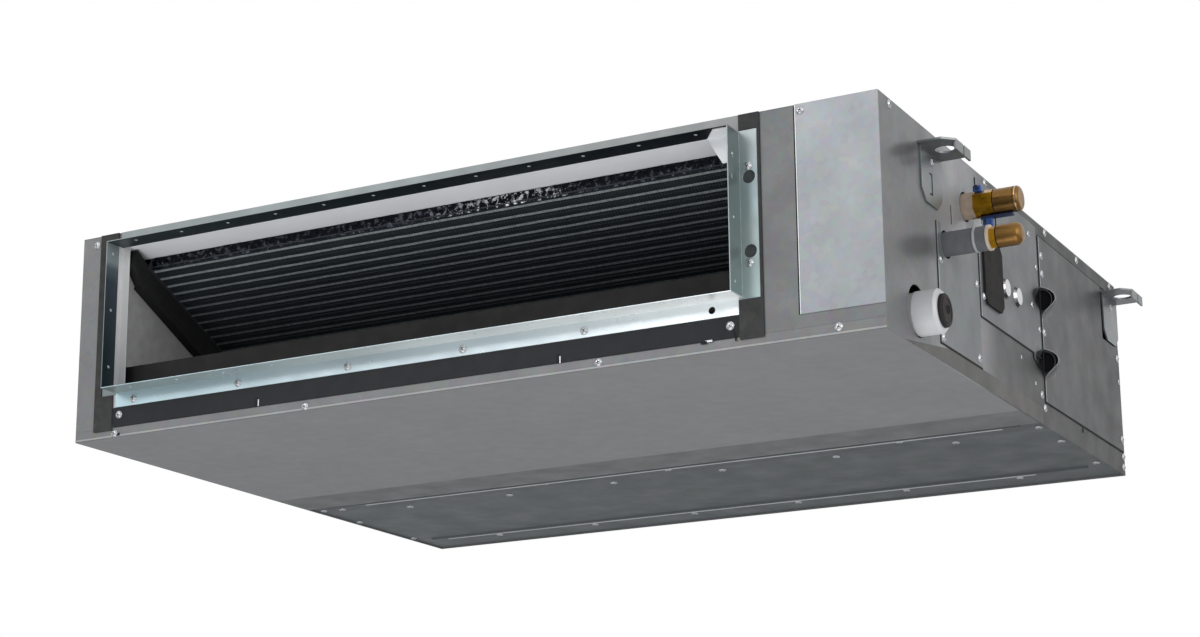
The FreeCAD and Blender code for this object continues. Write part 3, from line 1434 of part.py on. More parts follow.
shelf_high = axis_high - dim.cradle_drop
shelf_low = shelf_high - 2 * dim.strap_thickness
shelf_back = axis_deep + dim.motor_radius
shelf_start = motor_middle - dim.motor_length / 2
shelf_end = motor_middle + dim.motor_length / 2
shelf = between("shelf", (shelf_start, deck_rear, shelf_low), (shelf_end, shelf_back, shelf_high))
shelf_plate = between(
    "shelf_plate", (shelf_start, deck_rear, shelf_low),
    (shelf_end, deck_rear + 2 * dim.strap_thickness, shelf_high + dim.motor_radius),
)
webs = []
for name, across in (("near", shelf_start), ("far", shelf_end - dim.cradle_width)):
    webs.append(between(
        name + "_web", (across, axis_deep - dim.motor_radius * 0.8, shelf_low),
        (across + dim.cradle_width, axis_deep + dim.motor_radius * 0.8, axis_high - dim.motor_boss_radius),
    ))
    webs.append(bar(name + "_strap", dim.motor_radius + dim.strap_thickness, dim.cradle_width,
                    (across, axis_deep, axis_high), "X"))
cradle_space = bar("cradle_space", dim.motor_radius, 2 * dim.motor_length, (
    motor_start - dim.motor_length / 2, axis_deep, axis_high), "X")
keep("motor_bracket", less("cradle", joined("cradle_blank", shelf, shelf_plate, *webs), cradle_space))

# Float switch over the pan, seen through the access opening
float_across = right - dim.float_side
float_deep = front + dim.float_back
float_low = dim.float_low * 1
stop_low = float_low - 2 * metal
arm_low = dim.float_arm_height * 1
float_arm = between(
    "float_arm", (float_across - dim.float_radius / 2, float_deep - dim.float_radius / 2, arm_low),
    (inner_right, float_deep + dim.float_radius / 2, arm_low + dim.float_arm),
)
float_stem = bar("float_stem", dim.float_stem_radius, arm_low - stop_low, (
    float_across, float_deep, stop_low), "Z")
float_stop = bar("float_stop", dim.float_stem_radius + 2 * metal, 2 * metal, (
    float_across, float_deep, stop_low), "Z")
keep("float_switch", joined("float_holder", float_arm, float_stem, float_stop))
float_blank = bar("float_blank", dim.float_radius, dim.float_height, (float_across, float_deep, float_low), "Z")
float_bore = bar("float_bore", dim.float_stem_radius + dim.shaft_running_gap, 2 * dim.float_height, (
    float_across, float_deep, float_low - dim.float_height / 2), "Z")
keep("float", less("float_ring", float_blank, float_bore))


def hanger(name, side, deep):
    """One hanging bracket: a leg on the casing and a plate with an open rod hole."""
    face = right if side > 0 else left
    half = dim.hanger_width / 2
    leg_half = dim.hanger_leg_width / 2
    low = top - dim.hanger_drop
    thick = dim.hanger_metal * 1
    reach = dim.hanger_reach * 1
    corner = dim.hanger_leg_corner * 1
    outer = face + side * reach
    plate = pressed(
        name + "_plate",
        "XY_Plane",
        (
            (face * 1, deep - half),
            (outer - side * corner, deep - half),
            (outer, deep - half + corner),
            (outer, deep + half - corner),
            (outer - side * corner, deep + half),
            (face * 1, deep + half),
        ),
        thick,
        (0, 0, low),
    )
    leg_low = low - dim.hanger_leg
    leg = pressed(
        name + "_leg",
        "YZ_Plane",
        (
            (deep - leg_half + corner, leg_low),
            (deep + leg_half - corner, leg_low),
            (deep + leg_half, leg_low + corner),
            (deep + leg_half, low + thick),
            (deep - leg_half, low + thick),
            (deep - leg_half, leg_low + corner),
        ),
        thick,
        (face if side > 0 else face - thick, 0, 0),
    )
    tab_half = dim.hanger_width / 2 - corner
    tab = dim.hanger_tab * 1
    slit = dim.hanger_slit * 1
    tab_west = outer - thick if side > 0 else outer
    tab_near = between(
        name + "_tab_near", (tab_west, deep - tab_half, low - tab), (tab_west + thick, deep, low + thick)
    )
    tab_far = between(
        name + "_tab_far", (tab_west, deep + slit, low - tab), (tab_west + thick, deep + tab_half, low + thick)
    )
    rod = face + side * dim.slot_offset
    rod_hole = bar(name + "_rod_hole", dim.rod_hole_radius, 4 * thick, (rod, deep, low - thick), "Z")
    slit_low = (rod if side > 0 else outer - reach / 3, deep, low - 2 * tab)
    slit_high = (outer + reach / 3 if side > 0 else rod, deep + slit, low + 2 * tab)
    slit_cut = between(name + "_slit", slit_low, slit_high)
    return less(name, joined(name + "_blank", plate, leg, tab_near, tab_far), rod_hole, slit_cut)


hanger_first = front + dim.hanger_front
hanger_last = back - dim.hanger_rear
for name, side in (("left", -1), ("right", 1)):
    pair = (
        hanger(name + "_front_hanger", side, hanger_first),
        hanger(name + "_rear_hanger", side, hanger_last),
    )
    keep("hanger_brackets_" + name, group(name + "_hangers", pair))

# Checks, and one file for every sub-part
document.recompute()
faults = []
for item in document.Objects:
    if "Invalid" in item.State or "Error" in item.State:
        faults.append("%s is %s" % (item.Name, item.State))
for name, item in nodes.items():
    if item.Shape.isNull() or not item.Shape.isValid() or not item.Shape.Solids:
        faults.append("%s has no sound shape" % name)
if faults:
    raise RuntimeError("; ".join(faults))
os.makedirs("parts", exist_ok=True)
for name, item in nodes.items():
    item.Shape.exportStep("parts/%s.step" % name)
print(len(nodes), "sub-parts written")
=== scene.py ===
import json
import math
import bmesh
import bpy
import random
from mathutils import Matrix, Vector


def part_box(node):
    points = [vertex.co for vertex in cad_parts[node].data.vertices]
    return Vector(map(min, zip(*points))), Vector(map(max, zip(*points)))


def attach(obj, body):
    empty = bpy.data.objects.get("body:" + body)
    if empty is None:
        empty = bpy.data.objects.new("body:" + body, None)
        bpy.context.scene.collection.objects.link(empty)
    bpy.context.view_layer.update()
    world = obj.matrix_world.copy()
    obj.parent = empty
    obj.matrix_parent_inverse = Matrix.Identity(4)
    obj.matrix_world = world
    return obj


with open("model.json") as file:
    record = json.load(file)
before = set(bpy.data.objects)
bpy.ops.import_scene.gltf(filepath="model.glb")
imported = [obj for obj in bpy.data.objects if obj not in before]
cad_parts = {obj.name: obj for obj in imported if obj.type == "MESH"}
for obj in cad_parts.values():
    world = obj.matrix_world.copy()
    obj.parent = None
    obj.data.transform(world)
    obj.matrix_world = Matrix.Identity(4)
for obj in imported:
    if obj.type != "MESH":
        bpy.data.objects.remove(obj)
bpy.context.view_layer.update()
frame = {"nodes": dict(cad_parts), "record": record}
nodes = frame["nodes"]
random.seed(7)

MM = 0.001
GAMMA = 2.2
SCREEN_LEVELS = 255
X, Y, Z = range(3)
FORWARD, DOWNWARD, RIGHTWARD, LEFTWARD = (0, -1, 0), (0, 0, -1), (1, 0, 0), (-1, 0, 0)

# Places worked out from the frame
roof_low, roof_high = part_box("top_panel")
RIGHT = roof_high.x
LEFT = roof_low.x
FRONT = roof_low.y
SIDE = (RIGHT - LEFT) / MM
cover_low, cover_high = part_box("control_box_cover")
access_low, access_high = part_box("drain_access_cover")
plate_low, plate_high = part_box("pipe_cover_plate")
fins_low, fins_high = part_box("coil_fins")
COVER_EDGE = (cover_low.y - FRONT) / MM

# Heights of the two cable hoods above the underside, in millimetres
HOOD_HEIGHTS = {"upper": 150, "lower": 76}


def spot(across, deep, high):
    """A point from millimetres right of the left side, behind the front and above the underside."""
    return Vector((LEFT + across * MM, FRONT + deep * MM, high * MM))


# Node helpers
MIX_SHARE, MIX_FIRST, MIX_SECOND, MIX_OUT = 0, 6, 7, 2
TEXTURE_MIDDLE = (0.3, 0.7)
BEVEL_SAMPLES = 4


def new_material(name):
    """A material with its node tree and its shader."""
    material = bpy.data.materials.new(name)
    material.use_nodes = True
    tree = material.node_tree
    return material, tree, tree.nodes["Principled BSDF"]


def feed(tree, source, socket):
    """Fills a socket, by a link from another socket or with a value."""
    if isinstance(source, bpy.types.NodeSocket):
        tree.links.new(source, socket)
    else:
        socket.default_value = source


def own_place(tree):
    """The object's own coordinates."""
    return tree.nodes.new("ShaderNodeTexCoord").outputs["Object"]


def room(tree, output, axis):
    """One axis of the surface's place or facing in the room."""
    place = tree.nodes.new("ShaderNodeNewGeometry")
    parts = tree.nodes.new("ShaderNodeSeparateXYZ")
    tree.links.new(place.outputs[output], parts.inputs[0])
    return parts.outputs[axis]


def vector_math(tree, operation, output, *sources):
    """One output of a vector sum of sockets and values."""
    node = tree.nodes.new("ShaderNodeVectorMath")
    node.operation = operation
    for source, socket in zip(sources, node.inputs):
        feed(tree, source, socket)
    return node.outputs[output]


def noise(tree, scale, detail, stretch=(1, 1, 1), rough=0.5):
    """A noise that follows the object's own coordinates, drawn out along an axis if asked."""
    mapping = tree.nodes.new("ShaderNodeMapping")
    mapping.inputs["Scale"].default_value = stretch
    texture = tree.nodes.new("ShaderNodeTexNoise")
    texture.inputs["Scale"].default_value = scale
    texture.inputs["Detail"].default_value = detail
    texture.inputs["Roughness"].default_value = rough
    tree.links.new(own_place(tree), mapping.inputs["Vector"])
    tree.links.new(mapping.outputs["Vector"], texture.inputs["Vector"])
    return texture.outputs[0]


def cells(tree, scale, output):
    """A cell pattern that follows the object's own coordinates."""
    texture = tree.nodes.new("ShaderNodeTexVoronoi")
    texture.inputs["Scale"].default_value = scale
    tree.links.new(own_place(tree), texture.inputs["Vector"])
    return texture.outputs[output]


def spread(tree, source, source_range, low=0, high=1, kind="LINEAR"):
    """Maps a range of a socket's values onto the range from low to high."""
    node = tree.nodes.new("ShaderNodeMapRange")
    node.interpolation_type = kind
    node.inputs["From Min"].default_value = source_range[0]
    node.inputs["From Max"].default_value = source_range[1]
    node.inputs["To Min"].default_value = low
    node.inputs["To Max"].default_value = high
    tree.links.new(source, node.inputs["Value"])
    return node.outputs[0]


def ramp(tree, source, stops):
    """Colours along a socket's values, from (value, colour) stops."""
    node = tree.nodes.new("ShaderNodeValToRGB")
    elements = node.color_ramp.elements
    while len(elements) < len(stops):
        elements.new(0.5)
    for element, (where, colour) in zip(elements, stops):
        element.position = where
        element.color = [*colour, 1]
    tree.links.new(source, node.inputs[0])
    return node.outputs[0]


def place_ramp(tree, axis, stops):
    """A colour that changes along one axis of the room, from (metres, colour) stops."""
    low, high = stops[0][0], stops[-1][0]
    share = spread(tree, room(tree, "Position", axis), (low, high))
    return ramp(tree, share, [((where - low) / (high - low), colour) for where, colour in stops])


def blend(tree, first, second, share=1, way="MIX"):
    """Mixes two colours, each a socket or a value."""
    mix = tree.nodes.new("ShaderNodeMix")
    mix.data_type = "RGBA"
    mix.blend_type = way
    for source, index in ((share, MIX_SHARE), (first, MIX_FIRST), (second, MIX_SECOND)):
        feed(tree, source, mix.inputs[index])
    return mix.outputs[MIX_OUT]


def tint(tree, shader, source, colour, amount):
    """A base colour that swings a little darker and lighter with a texture."""
    darker = [*(channel * (1 - amount) for channel in colour), 1]
    lighter = [*(min(1, channel * (1 + amount)) for channel in colour), 1]
    swung = blend(tree, darker, lighter, spread(tree, source, TEXTURE_MIDDLE))
    tree.links.new(swung, shader.inputs["Base Color"])
    return swung


def gloss(tree, shader, source, low, high):
    """A roughness between low and high that follows a texture."""
    tree.links.new(spread(tree, source, TEXTURE_MIDDLE, low, high), shader.inputs["Roughness"])


def relief(tree, shader, source, height, distance, edge=0):
    """A small bump from a texture, and hard edges rounded by edge in the shading, in millimetres."""
    bump = tree.nodes.new("ShaderNodeBump")
    bump.inputs["Strength"].default_value = height
    bump.inputs["Distance"].default_value = distance * MM
    tree.links.new(source, bump.inputs["Height"])
    tree.links.new(bump.outputs["Normal"], shader.inputs["Normal"])
    if edge:
        bevel = tree.nodes.new("ShaderNodeBevel")
        bevel.samples = BEVEL_SAMPLES
        bevel.inputs["Radius"].default_value = edge * MM
        tree.links.new(bevel.outputs["Normal"], bump.inputs["Normal"])


# Materials
CLOUD_RANGE = (0.3, 1)
SPANGLE_SCALE = 140
SPANGLE_SHARE = 0.06
SHINE, DULL_SHINE, FOAM_SHINE, FELT_SHINE = 0.5, 0.15, 0.25, 0.3
GLINT = (0.93, -0.36, -0.05)
GLINT_STOPS = ((0.0, 0.05), (0.84, 0.06), (0.915, 0.5), (0.945, 0.62), (0.985, 0.16), (1.0, 0.12))
LOOKS_BACK = (-0.7, -0.5)
FIN_SCALE = 90


def paint_dark_reflection(tree, shader, start, end, width, share):
    """A painted dark reflection on the right side: a soft dark cloud where a near piece would show in
    glossy sheet.
    """
    start, end = spot(SIDE, *start), spot(SIDE, *end)
    along = (end - start).normalized()
    across = along.cross(Vector(RIGHTWARD))
    moved = vector_math(tree, "SUBTRACT", 0, own_place(tree), (start + end) / 2)
    flat = tree.nodes.new("ShaderNodeCombineXYZ")
    halves = (along / ((end - start).length / 2), across / (width * MM))
    for scaled, socket in zip(halves, flat.inputs):
        tree.links.new(vector_math(tree, "DOT_PRODUCT", "Value", moved, scaled), socket)
    away = vector_math(tree, "LENGTH", "Value", flat.outputs[0])
    fade = spread(tree, away, CLOUD_RANGE, share ** GAMMA, 1, "SMOOTHSTEP")
    colour = shader.inputs["Base Color"]
    tree.links.new(blend(tree, colour.links[0].from_socket, fade, 1, "MULTIPLY"), colour)


def zinc(name, colour, rough=0.42, metallic=0.3, streak=(1, 1, 1), swing=0.05, run=None,
         shine=SHINE, dark_reflections=()):
    """Galvanised sheet: faint spangle, cloudy tone, uneven gloss, a run of painted shade along an axis, and
    painted dark reflections where asked.
    """
    material, tree, shader = new_material(name)
    shader.inputs["Metallic"].default_value = metallic
    shader.inputs["Specular IOR Level"].default_value = shine
    base = tint(tree, shader, noise(tree, 7, 4, streak), colour, swing)
    sheet = blend(tree, base, cells(tree, SPANGLE_SCALE, "Color"), SPANGLE_SHARE, "OVERLAY")
    if run:
        sheet = blend(tree, sheet, place_ramp(tree, *run), 1, "MULTIPLY")
    tree.links.new(sheet, shader.inputs["Base Color"])
    for cloud in dark_reflections:
        paint_dark_reflection(tree, shader, *cloud)
    gloss(tree, shader, noise(tree, 22, 5), rough - 0.06, rough + 0.08)
    relief(tree, shader, noise(tree, 9, 2), 0.06, 1, 0.8)
    return material


def moulded(name, colour, rough=0.5, swing=0.06, grain=900, height=0.1, metallic=0.0, dull=False):
    """Moulded plastic, rubber or paint with a fine grain."""
    material, tree, shader = new_material(name)
    shader.inputs["Specular IOR Level"].default_value = DULL_SHINE if dull else SHINE
    shader.inputs["Metallic"].default_value = metallic
    tint(tree, shader, noise(tree, 14, 5), colour, swing)
    gloss(tree, shader, noise(tree, 60, 4), rough - 0.07, rough + 0.07)
    relief(tree, shader, noise(tree, grain, 2), height, 0.4, 0.7)
    return material


def foam(name, colour, cell=600, height=0.5, swing=0.2):
    """Closed cell foam: matt, with pores."""
    material, tree, shader = new_material(name)
    shader.inputs["Specular IOR Level"].default_value = FOAM_SHINE
    tint(tree, shader, noise(tree, 90, 6), colour, swing)
    gloss(tree, shader, noise(tree, 40, 4), 0.8, 0.95)
    relief(tree, shader, cells(tree, cell, 0), height, 0.6)
    return material


def dome(name):
    """A polished knock-out plug, its base colour a painted highlight towards the lamp and painted shade
    round its edge.
    """
    material, tree, shader = new_material(name)
    shader.inputs["Metallic"].default_value = 0.9
    normal = tree.nodes.new("ShaderNodeNewGeometry").outputs["Normal"]
    faced = vector_math(tree, "DOT_PRODUCT", "Value", normal, GLINT)
    stops = [(where, (level, level, level * 1.02)) for where, level in GLINT_STOPS]
    tree.links.new(ramp(tree, faced, stops), shader.inputs["Base Color"])
    gloss(tree, shader, noise(tree, 80, 4), 0.12, 0.25)
    relief(tree, shader, noise(tree, 120, 4), 0.3, 0.6)
    return material


def felt(name, colour):
    """Pressed fibre sheet: short crossed fibres and a soft sheen."""
    material, tree, shader = new_material(name)
    shader.inputs["Sheen Weight"].default_value = 0.15
    shader.inputs["Specular IOR Level"].default_value = FELT_SHINE
    tint(tree, shader, noise(tree, 8, 8, rough=0.7), colour, 0.07)
    gloss(tree, shader, noise(tree, 50, 4), 0.62, 0.8)
    relief(tree, shader, noise(tree, 500, 5, (1, 0.25, 1)), 0.35, 0.6)
    return material


def metal_bar(name, colour, rough=0.25, turned=True, swing=0.12):
    """Turned brass, copper or ground steel, with tool marks round it and dull spots."""
    material, tree, shader = new_material(name)
    shader.inputs["Metallic"].default_value = 1
    tint(tree, shader, noise(tree, 45, 6), colour, swing)
    gloss(tree, shader, noise(tree, 120, 6), rough - 0.06, rough + 0.12)
    marks = noise(tree, 60, 3, (40, 1, 1) if turned else (1, 1, 1))
    relief(tree, shader, marks, 0.12, 0.3, 0.6)
    return material


def bent_sheet(name, axis, face_stops, lip_stops, lip_axis, rough, metallic):
    """A folded zinc flange with painted light: its face, and its lip that looks back along an axis, each
    with its own run of painted reflection and shade along the flange, and cloudy streaks.
    """
    material, tree, shader = new_material(name)
    shader.inputs["Metallic"].default_value = metallic
    face, lip = place_ramp(tree, axis, face_stops), place_ramp(tree, axis, lip_stops)
    ahead = spread(tree, room(tree, "True Normal", lip_axis), LOOKS_BACK)
    cloud = noise(tree, 16, 5, (0.35, 1, 1) if axis == X else (1, 1, 0.35))
    shade = spread(tree, cloud, TEXTURE_MIDDLE, 0.86, 1.1)
    sheet = blend(tree, blend(tree, lip, face, ahead), shade, 1, "MULTIPLY")
    tree.links.new(sheet, shader.inputs["Base Color"])
    gloss(tree, shader, noise(tree, 30, 5), rough - 0.05, rough + 0.1)
    relief(tree, shader, noise(tree, 12, 3), 0.15, 1, 0.8)
    return material


def fin_material(name, colour):
    """Coated fins: thin edges side by side across the coil."""
    material, tree, shader = new_material(name)
    shader.inputs["Metallic"].default_value = 0.6
    edges = tree.nodes.new("ShaderNodeTexWave")
    edges.wave_type = "BANDS"
    edges.bands_direction = "X"
    edges.inputs["Scale"].default_value = FIN_SCALE
    edges.inputs["Distortion"].default_value = 0.6
    edges.inputs["Detail"].default_value = 2
    tree.links.new(own_place(tree), edges.inputs["Vector"])
    tint(tree, shader, edges.outputs[0], colour, 0.25)
    gloss(tree, shader, noise(tree, 30, 4), 0.32, 0.5)
    relief(tree, shader, edges.outputs[0], 0.5, 0.5, 0.6)
    return material


def tone(red, green, blue):
    """A colour from its three screen levels, 0 to 255."""
    return tuple((level / SCREEN_LEVELS) ** GAMMA for level in (red, green, blue))


def x_stops(*stops):
    """Colour stops from millimetres right of the left side."""
    return [(LEFT + across * MM, tone(*levels)) for across, levels in stops]


def z_stops(*stops):
    """Colour stops from millimetres above the underside."""
    return [(high * MM, tone(*levels)) for high, levels in stops]


def y_shades(*stops):
    """Shares of the full tone, for runs of painted shade, from millimetres behind the front."""
    return Y, [(FRONT + deep * MM, (share ** GAMMA,) * 3) for deep, share in stops]


def z_shades(*stops):
    """Shares of the full tone, for runs of painted shade, from millimetres above the underside."""
    return Z, [(high * MM, (share ** GAMMA,) * 3) for high, share in stops]


looks = {
    "galvanised": zinc("galvanised", tone(116, 117, 118)),
    "galvanised_dark": zinc("galvanised_dark", tone(85, 88, 88)),
    "felt": felt("felt", (0.184, 0.184, 0.19)),
    "flange_zinc": zinc("flange_zinc", (0.15, 0.17, 0.19), 0.36, 0.7, (0.2, 1, 1)),
    "flange_bright": zinc("flange_bright", (0.62, 0.66, 0.68), 0.28, 0.9, (0.2, 1, 1)),
    "liner_white": moulded("liner_white", (0.93, 0.945, 0.97), 0.4, 0.03),
    # strip_light: painted shade, darker towards the bottom
    "strip_light": zinc("strip_light", (0.8, 0.8, 0.8), 0.4, 0.3, run=z_shades((52, 0.82), (227, 1))),
    "black_foam": foam("black_foam", (0.055, 0.055, 0.055)),
    "plate_dark": moulded("plate_dark", (0.022, 0.023, 0.026), 0.5, dull=True),
    # cover_light: painted shade, darker towards the bottom
    "cover_light": zinc("cover_light", tone(160, 164, 168), swing=0.03, run=z_shades((20, 0.92), (245, 1))),
    "liner_grey": foam("liner_grey", (0.36, 0.355, 0.35), 300, 0.15, 0.08),
    "fins": fin_material("fins", (0.055, 0.066, 0.076)),
    "end_plate": zinc("end_plate", (0.05, 0.05, 0.055)),
    "copper": metal_bar("copper", (0.6, 0.26, 0.14), 0.3, False),
    "black_seal": foam("black_seal", (0.016, 0.016, 0.016), 500, 0.4),
    "pan_black": moulded("pan_black", (0.016, 0.0155, 0.015), 0.6, 0.15, 500, 0.3, dull=True),
    "socket_white": moulded("socket_white", (0.62, 0.62, 0.63), 0.4),
    "plug_rubber": moulded("plug_rubber", (0.024, 0.021, 0.02), 0.6, dull=True),
    "float_plastic": moulded("float_plastic", (0.6, 0.6, 0.57), 0.4),
    "float_body": moulded("float_body", (0.02, 0.02, 0.022), 0.5),
    "tan_sleeve": foam("tan_sleeve", (0.38, 0.30, 0.23), 420, 0.25, 0.12),
    "dark_sleeve": foam("dark_sleeve", (0.15, 0.155, 0.165), 420, 0.3, 0.12),
    "brass": metal_bar("brass", tone(168, 124, 34), 0.26, swing=0.25),
    "brass_cap": metal_bar("brass_cap", tone(124, 94, 55), 0.3, swing=0.12),
    "tie_plastic": moulded("tie_plastic", (0.5, 0.5, 0.52), 0.35),
    "scroll_plastic": moulded("scroll_plastic", (0.5, 0.5, 0.48), 0.45),
    "wheel_plastic": moulded("wheel_plastic", (0.03, 0.03, 0.033), 0.4),
    "shaft_steel": metal_bar("shaft_steel", (0.5, 0.5, 0.5), 0.2),
    "motor_case": moulded("motor_case", (0.05, 0.05, 0.055), 0.4, metallic=0.4),
    "bracket_zinc": zinc("bracket_zinc", (0.3, 0.3, 0.3)),
    "box_zinc": zinc("box_zinc", (0.28, 0.28, 0.28)),
    "board_green": moulded("board_green", (0.02, 0.11, 0.05), 0.35),
    "terminal_plastic": moulded("terminal_plastic", (0.02, 0.02, 0.02), 0.4),
    "cover_zinc": zinc("cover_zinc", tone(107, 111, 112)),
    "plug_grey": dome("plug_grey"),
    "hanger_zinc": zinc("hanger_zinc", (0.19, 0.205, 0.21), 0.36, 0.7),
    "filter_net": moulded("filter_net", (0.05, 0.055, 0.06), 0.6, 0.2, 300, 0.4),
}
screw_bright = metal_bar("screw_bright", (0.5, 0.51, 0.53), 0.25, False)
# Painted shade in recesses, grooves and dimples
recess_shade = moulded("recess_shade", (0.006, 0.006, 0.007), 0.8, dull=True)
seam_dark = moulded("seam_dark", (0.02, 0.02, 0.022), 0.7, dull=True)
# edge_bright is a painted highlight: lines and marks that catch the light on edges, folds, rib crests and
# rims
edge_bright = zinc("edge_bright", (0.55, 0.56, 0.58), 0.35, 0.6)
# Painted shade for the darker lower band of the side
side_band_shade = zinc("side_band_shade", tone(84, 83, 81), shine=0.2)
hole_grey = foam("hole_grey", (0.07, 0.075, 0.075))
# Painted highlight along the lower hem of the front
hem_highlight = zinc("hem_highlight", tone(158, 160, 160), 0.5, 0.2)
clip_blue = moulded("clip_blue", (0.02, 0.08, 0.3), 0.35)
clip_navy = moulded("clip_navy", (0.006, 0.016, 0.06), 0.4)
tag_white = moulded("tag_white", (0.6, 0.62, 0.62), 0.45)
# Painted highlight round the end of the gas cap
brass_highlight = metal_bar("brass_highlight", tone(228, 206, 178), 0.25, swing=0.08)
# Painted shade that fills the mouths of the cable hoods
hood_mouth_shade = moulded("hood_mouth_shade", (0.004, 0.004, 0.005), 0.8, dull=True)

# The bent sheets of the collar, each with its own run of painted reflection and shade from dark to bright
low_lip = bent_sheet(
    "low_lip", X,
    x_stops((57, (170, 194, 202)), (300, (176, 192, 198)), (560, (183, 196, 201)), (848, (240, 248, 251))),
    x_stops((57, (152, 162, 161)), (250, (172, 184, 184)), (480, (228, 231, 229)), (848, (253, 253, 250))),
    Z, 0.3, 0.5,
)
high_lip = bent_sheet(
    "high_lip", X,
    x_stops((57, (150, 158, 158)), (450, (152, 160, 160)), (848, (150, 152, 152))),
    x_stops((57, (52, 62, 62)), (400, (22, 34, 38)), (848, (12, 24, 32))),
    Z, 0.45, 0.2,
)
left_lip = bent_sheet(
    "left_lip", Z,
    z_stops((52, (30, 46, 50)), (110, (36, 52, 58)), (180, (60, 70, 80)), (196, (92, 104, 112)),
            (204, (146, 158, 160)), (240, (150, 160, 160))),
    z_stops((52, (120, 130, 130)), (240, (150, 160, 160))),
    Y, 0.45, 0.25,
)
right_lip = bent_sheet(
    "right_lip", Z,
    z_stops((52, (142, 158, 158)), (120, (128, 140, 138)), (200, (122, 132, 132)), (240, (130, 140, 142))),
    z_stops((52, (160, 176, 176)), (110, (150, 162, 162)), (170, (140, 155, 158)), (240, (165, 172, 174))),
    Y, 0.35, 0.5,
)

# The two ties are one piece of the frame: one is grey, the other cream
TIE_GREY, TIE_CREAM = (176, 179, 184), (206, 190, 168)
two_ties, tie_tree, tie_shader = new_material("two_ties")
ties_low, ties_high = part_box("pipe_ties")
tie_mid = ((ties_low.x + ties_high.x) / 2 - LEFT) / MM
tie_run = place_ramp(tie_tree, X, x_stops(
    (900, TIE_GREY), (tie_mid - 0.1, TIE_GREY), (tie_mid + 0.1, TIE_CREAM), (1100, TIE_CREAM)))
tie_tree.links.new(tie_run, tie_shader.inputs["Base Color"])
gloss(tie_tree, tie_shader, noise(tie_tree, 60, 4), 0.33, 0.47)
relief(tie_tree, tie_shader, noise(tie_tree, 900, 2), 0.1, 0.4, 0.7)

# Painted dark reflections beside the two cable hoods
hood_dark_reflections = {name: ((452, high), (490, high), 18, 0.55) for name, high in HOOD_HEIGHTS.items()}
node_looks = {
    # The fan service panel: a run of painted shade, darker towards the right
    "fan_service_panel": zinc(
        "panel_teal", tone(86, 92, 93), 0.5, 0.1, (1, 0.3, 1), 0.02, shine=0.3,
        run=(X, [(LEFT, (0.92, 0.92, 0.92)), (RIGHT, (0.68, 0.68, 0.68))])),
    # The right side: a run of painted shade, brightest near 200 mm and darker towards the rear, and painted
    # dark reflections of the hanger bracket and the liquid pipe, and one beside the lower hood
    "right_side_panel": zinc(
        "side_zinc", tone(121, 122, 123), shine=0.2,
        run=y_shades((0, 0.97), (120, 1.01), (200, 1.26), (260, 1.18), (330, 0.72), (480, 0.56),
                     (800, 0.42)),
        dark_reflections=(((8, 181), (122, 223), 10, 0.74), ((40, 181), (114, 207), 8, 0.86),
                ((20, 87), (165, 129), 17, 0.8), hood_dark_reflections["lower"])),
    # The control box cover: a run of painted shade, darker towards the rear
    "control_box_cover": zinc(
        "cover_far", tone(96, 97, 99), shine=0.25,
        run=y_shades((450, 0.85), (620, 0.79), (800, 0.64))),
    # The pipe cover plate: a run of painted shade, darker towards the rear, and painted dark reflections
    # beside the cable hoods
    "pipe_cover_plate": zinc(
        "cover_near", tone(107, 110, 112), run=y_shades((250, 0.97), (500, 0.84)),
        dark_reflections=hood_dark_reflections.values()),
    "service_port_pad": foam("pad_black", (0.02, 0.018, 0.017)),
    "pipe_ties": two_ties,
    "outlet_flange_bottom": low_lip,
    "outlet_flange_top": high_lip,
    "outlet_flange_left": left_lip,
    "outlet_flange_right": right_lip,
}

for row in frame["record"]["subparts"]:
    for holder in nodes[row["node"]].material_slots:
        holder.material = node_looks.get(row["node"], looks[row["material_slot"]])


# Mesh helpers: sizes are in millimetres, points are in the room
def add_piece(name, mesh, body, materials):
    """Puts a finished bmesh into the scene, on its body."""
    data = bpy.data.meshes.new(name)
    mesh.to_mesh(data)
    mesh.free()
    thing = bpy.data.objects.new(name, data)
    bpy.context.scene.collection.objects.link(thing)
    for material in materials:
        data.materials.append(material)
    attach(thing, body)


def lathe(mesh, profile, base, axis, segments, index=0):
    """Turns (radius, height) pairs round an axis that starts at base."""
    axis = Vector(axis).normalized()
    side = axis.orthogonal().normalized()
    other = axis.cross(side)
    rings = []
    for radius, height in profile:
        centre = base + axis * height * MM
        if not radius:
            rings.append([mesh.verts.new(centre)])
            continue
        rings.append([
            mesh.verts.new(centre + (side * math.cos(turn) + other * math.sin(turn)) * radius * MM)
            for turn in (2 * math.pi * step / segments for step in range(segments))
        ])
    for low, high in zip(rings, rings[1:]):
        for step in range(segments):
            after = (step + 1) % segments
            if len(low) == 1:
                corners = (low[0], high[step], high[after])
            elif len(high) == 1:
                corners = (low[step], low[after], high[0])
            else:
                corners = (low[step], low[after], high[after], high[step])
            face = mesh.faces.new(corners)
            face.smooth = True
            face.material_index = index


def slab(mesh, low, high, index, trim=0):
    """A box between two spots, with its edges trimmed if asked."""
    low, high = spot(*low), spot(*high)
    verts = bmesh.ops.create_cube(mesh, size=1)["verts"]
    for vert in verts:
        vert.co = vert.co * (high - low) + (high + low) / 2
    for face in {face for vert in verts for face in vert.link_faces}:
        face.material_index = index
    if trim:
        edges = list({edge for vert in verts for edge in vert.link_edges})
        bmesh.ops.bevel(mesh, geom=edges, offset=trim * MM, segments=2, affect="EDGES", profile=0.5,
                        material=index)


def panel(mesh, points, outward, index=0):
    """A flat face that looks outward."""
    across = (points[1] - points[0]).cross(points[2] - points[0])
    if across.dot(Vector(outward)) < 0:
        points = points[::-1]
    face = mesh.faces.new([mesh.verts.new(point) for point in points])
    face.material_index = index


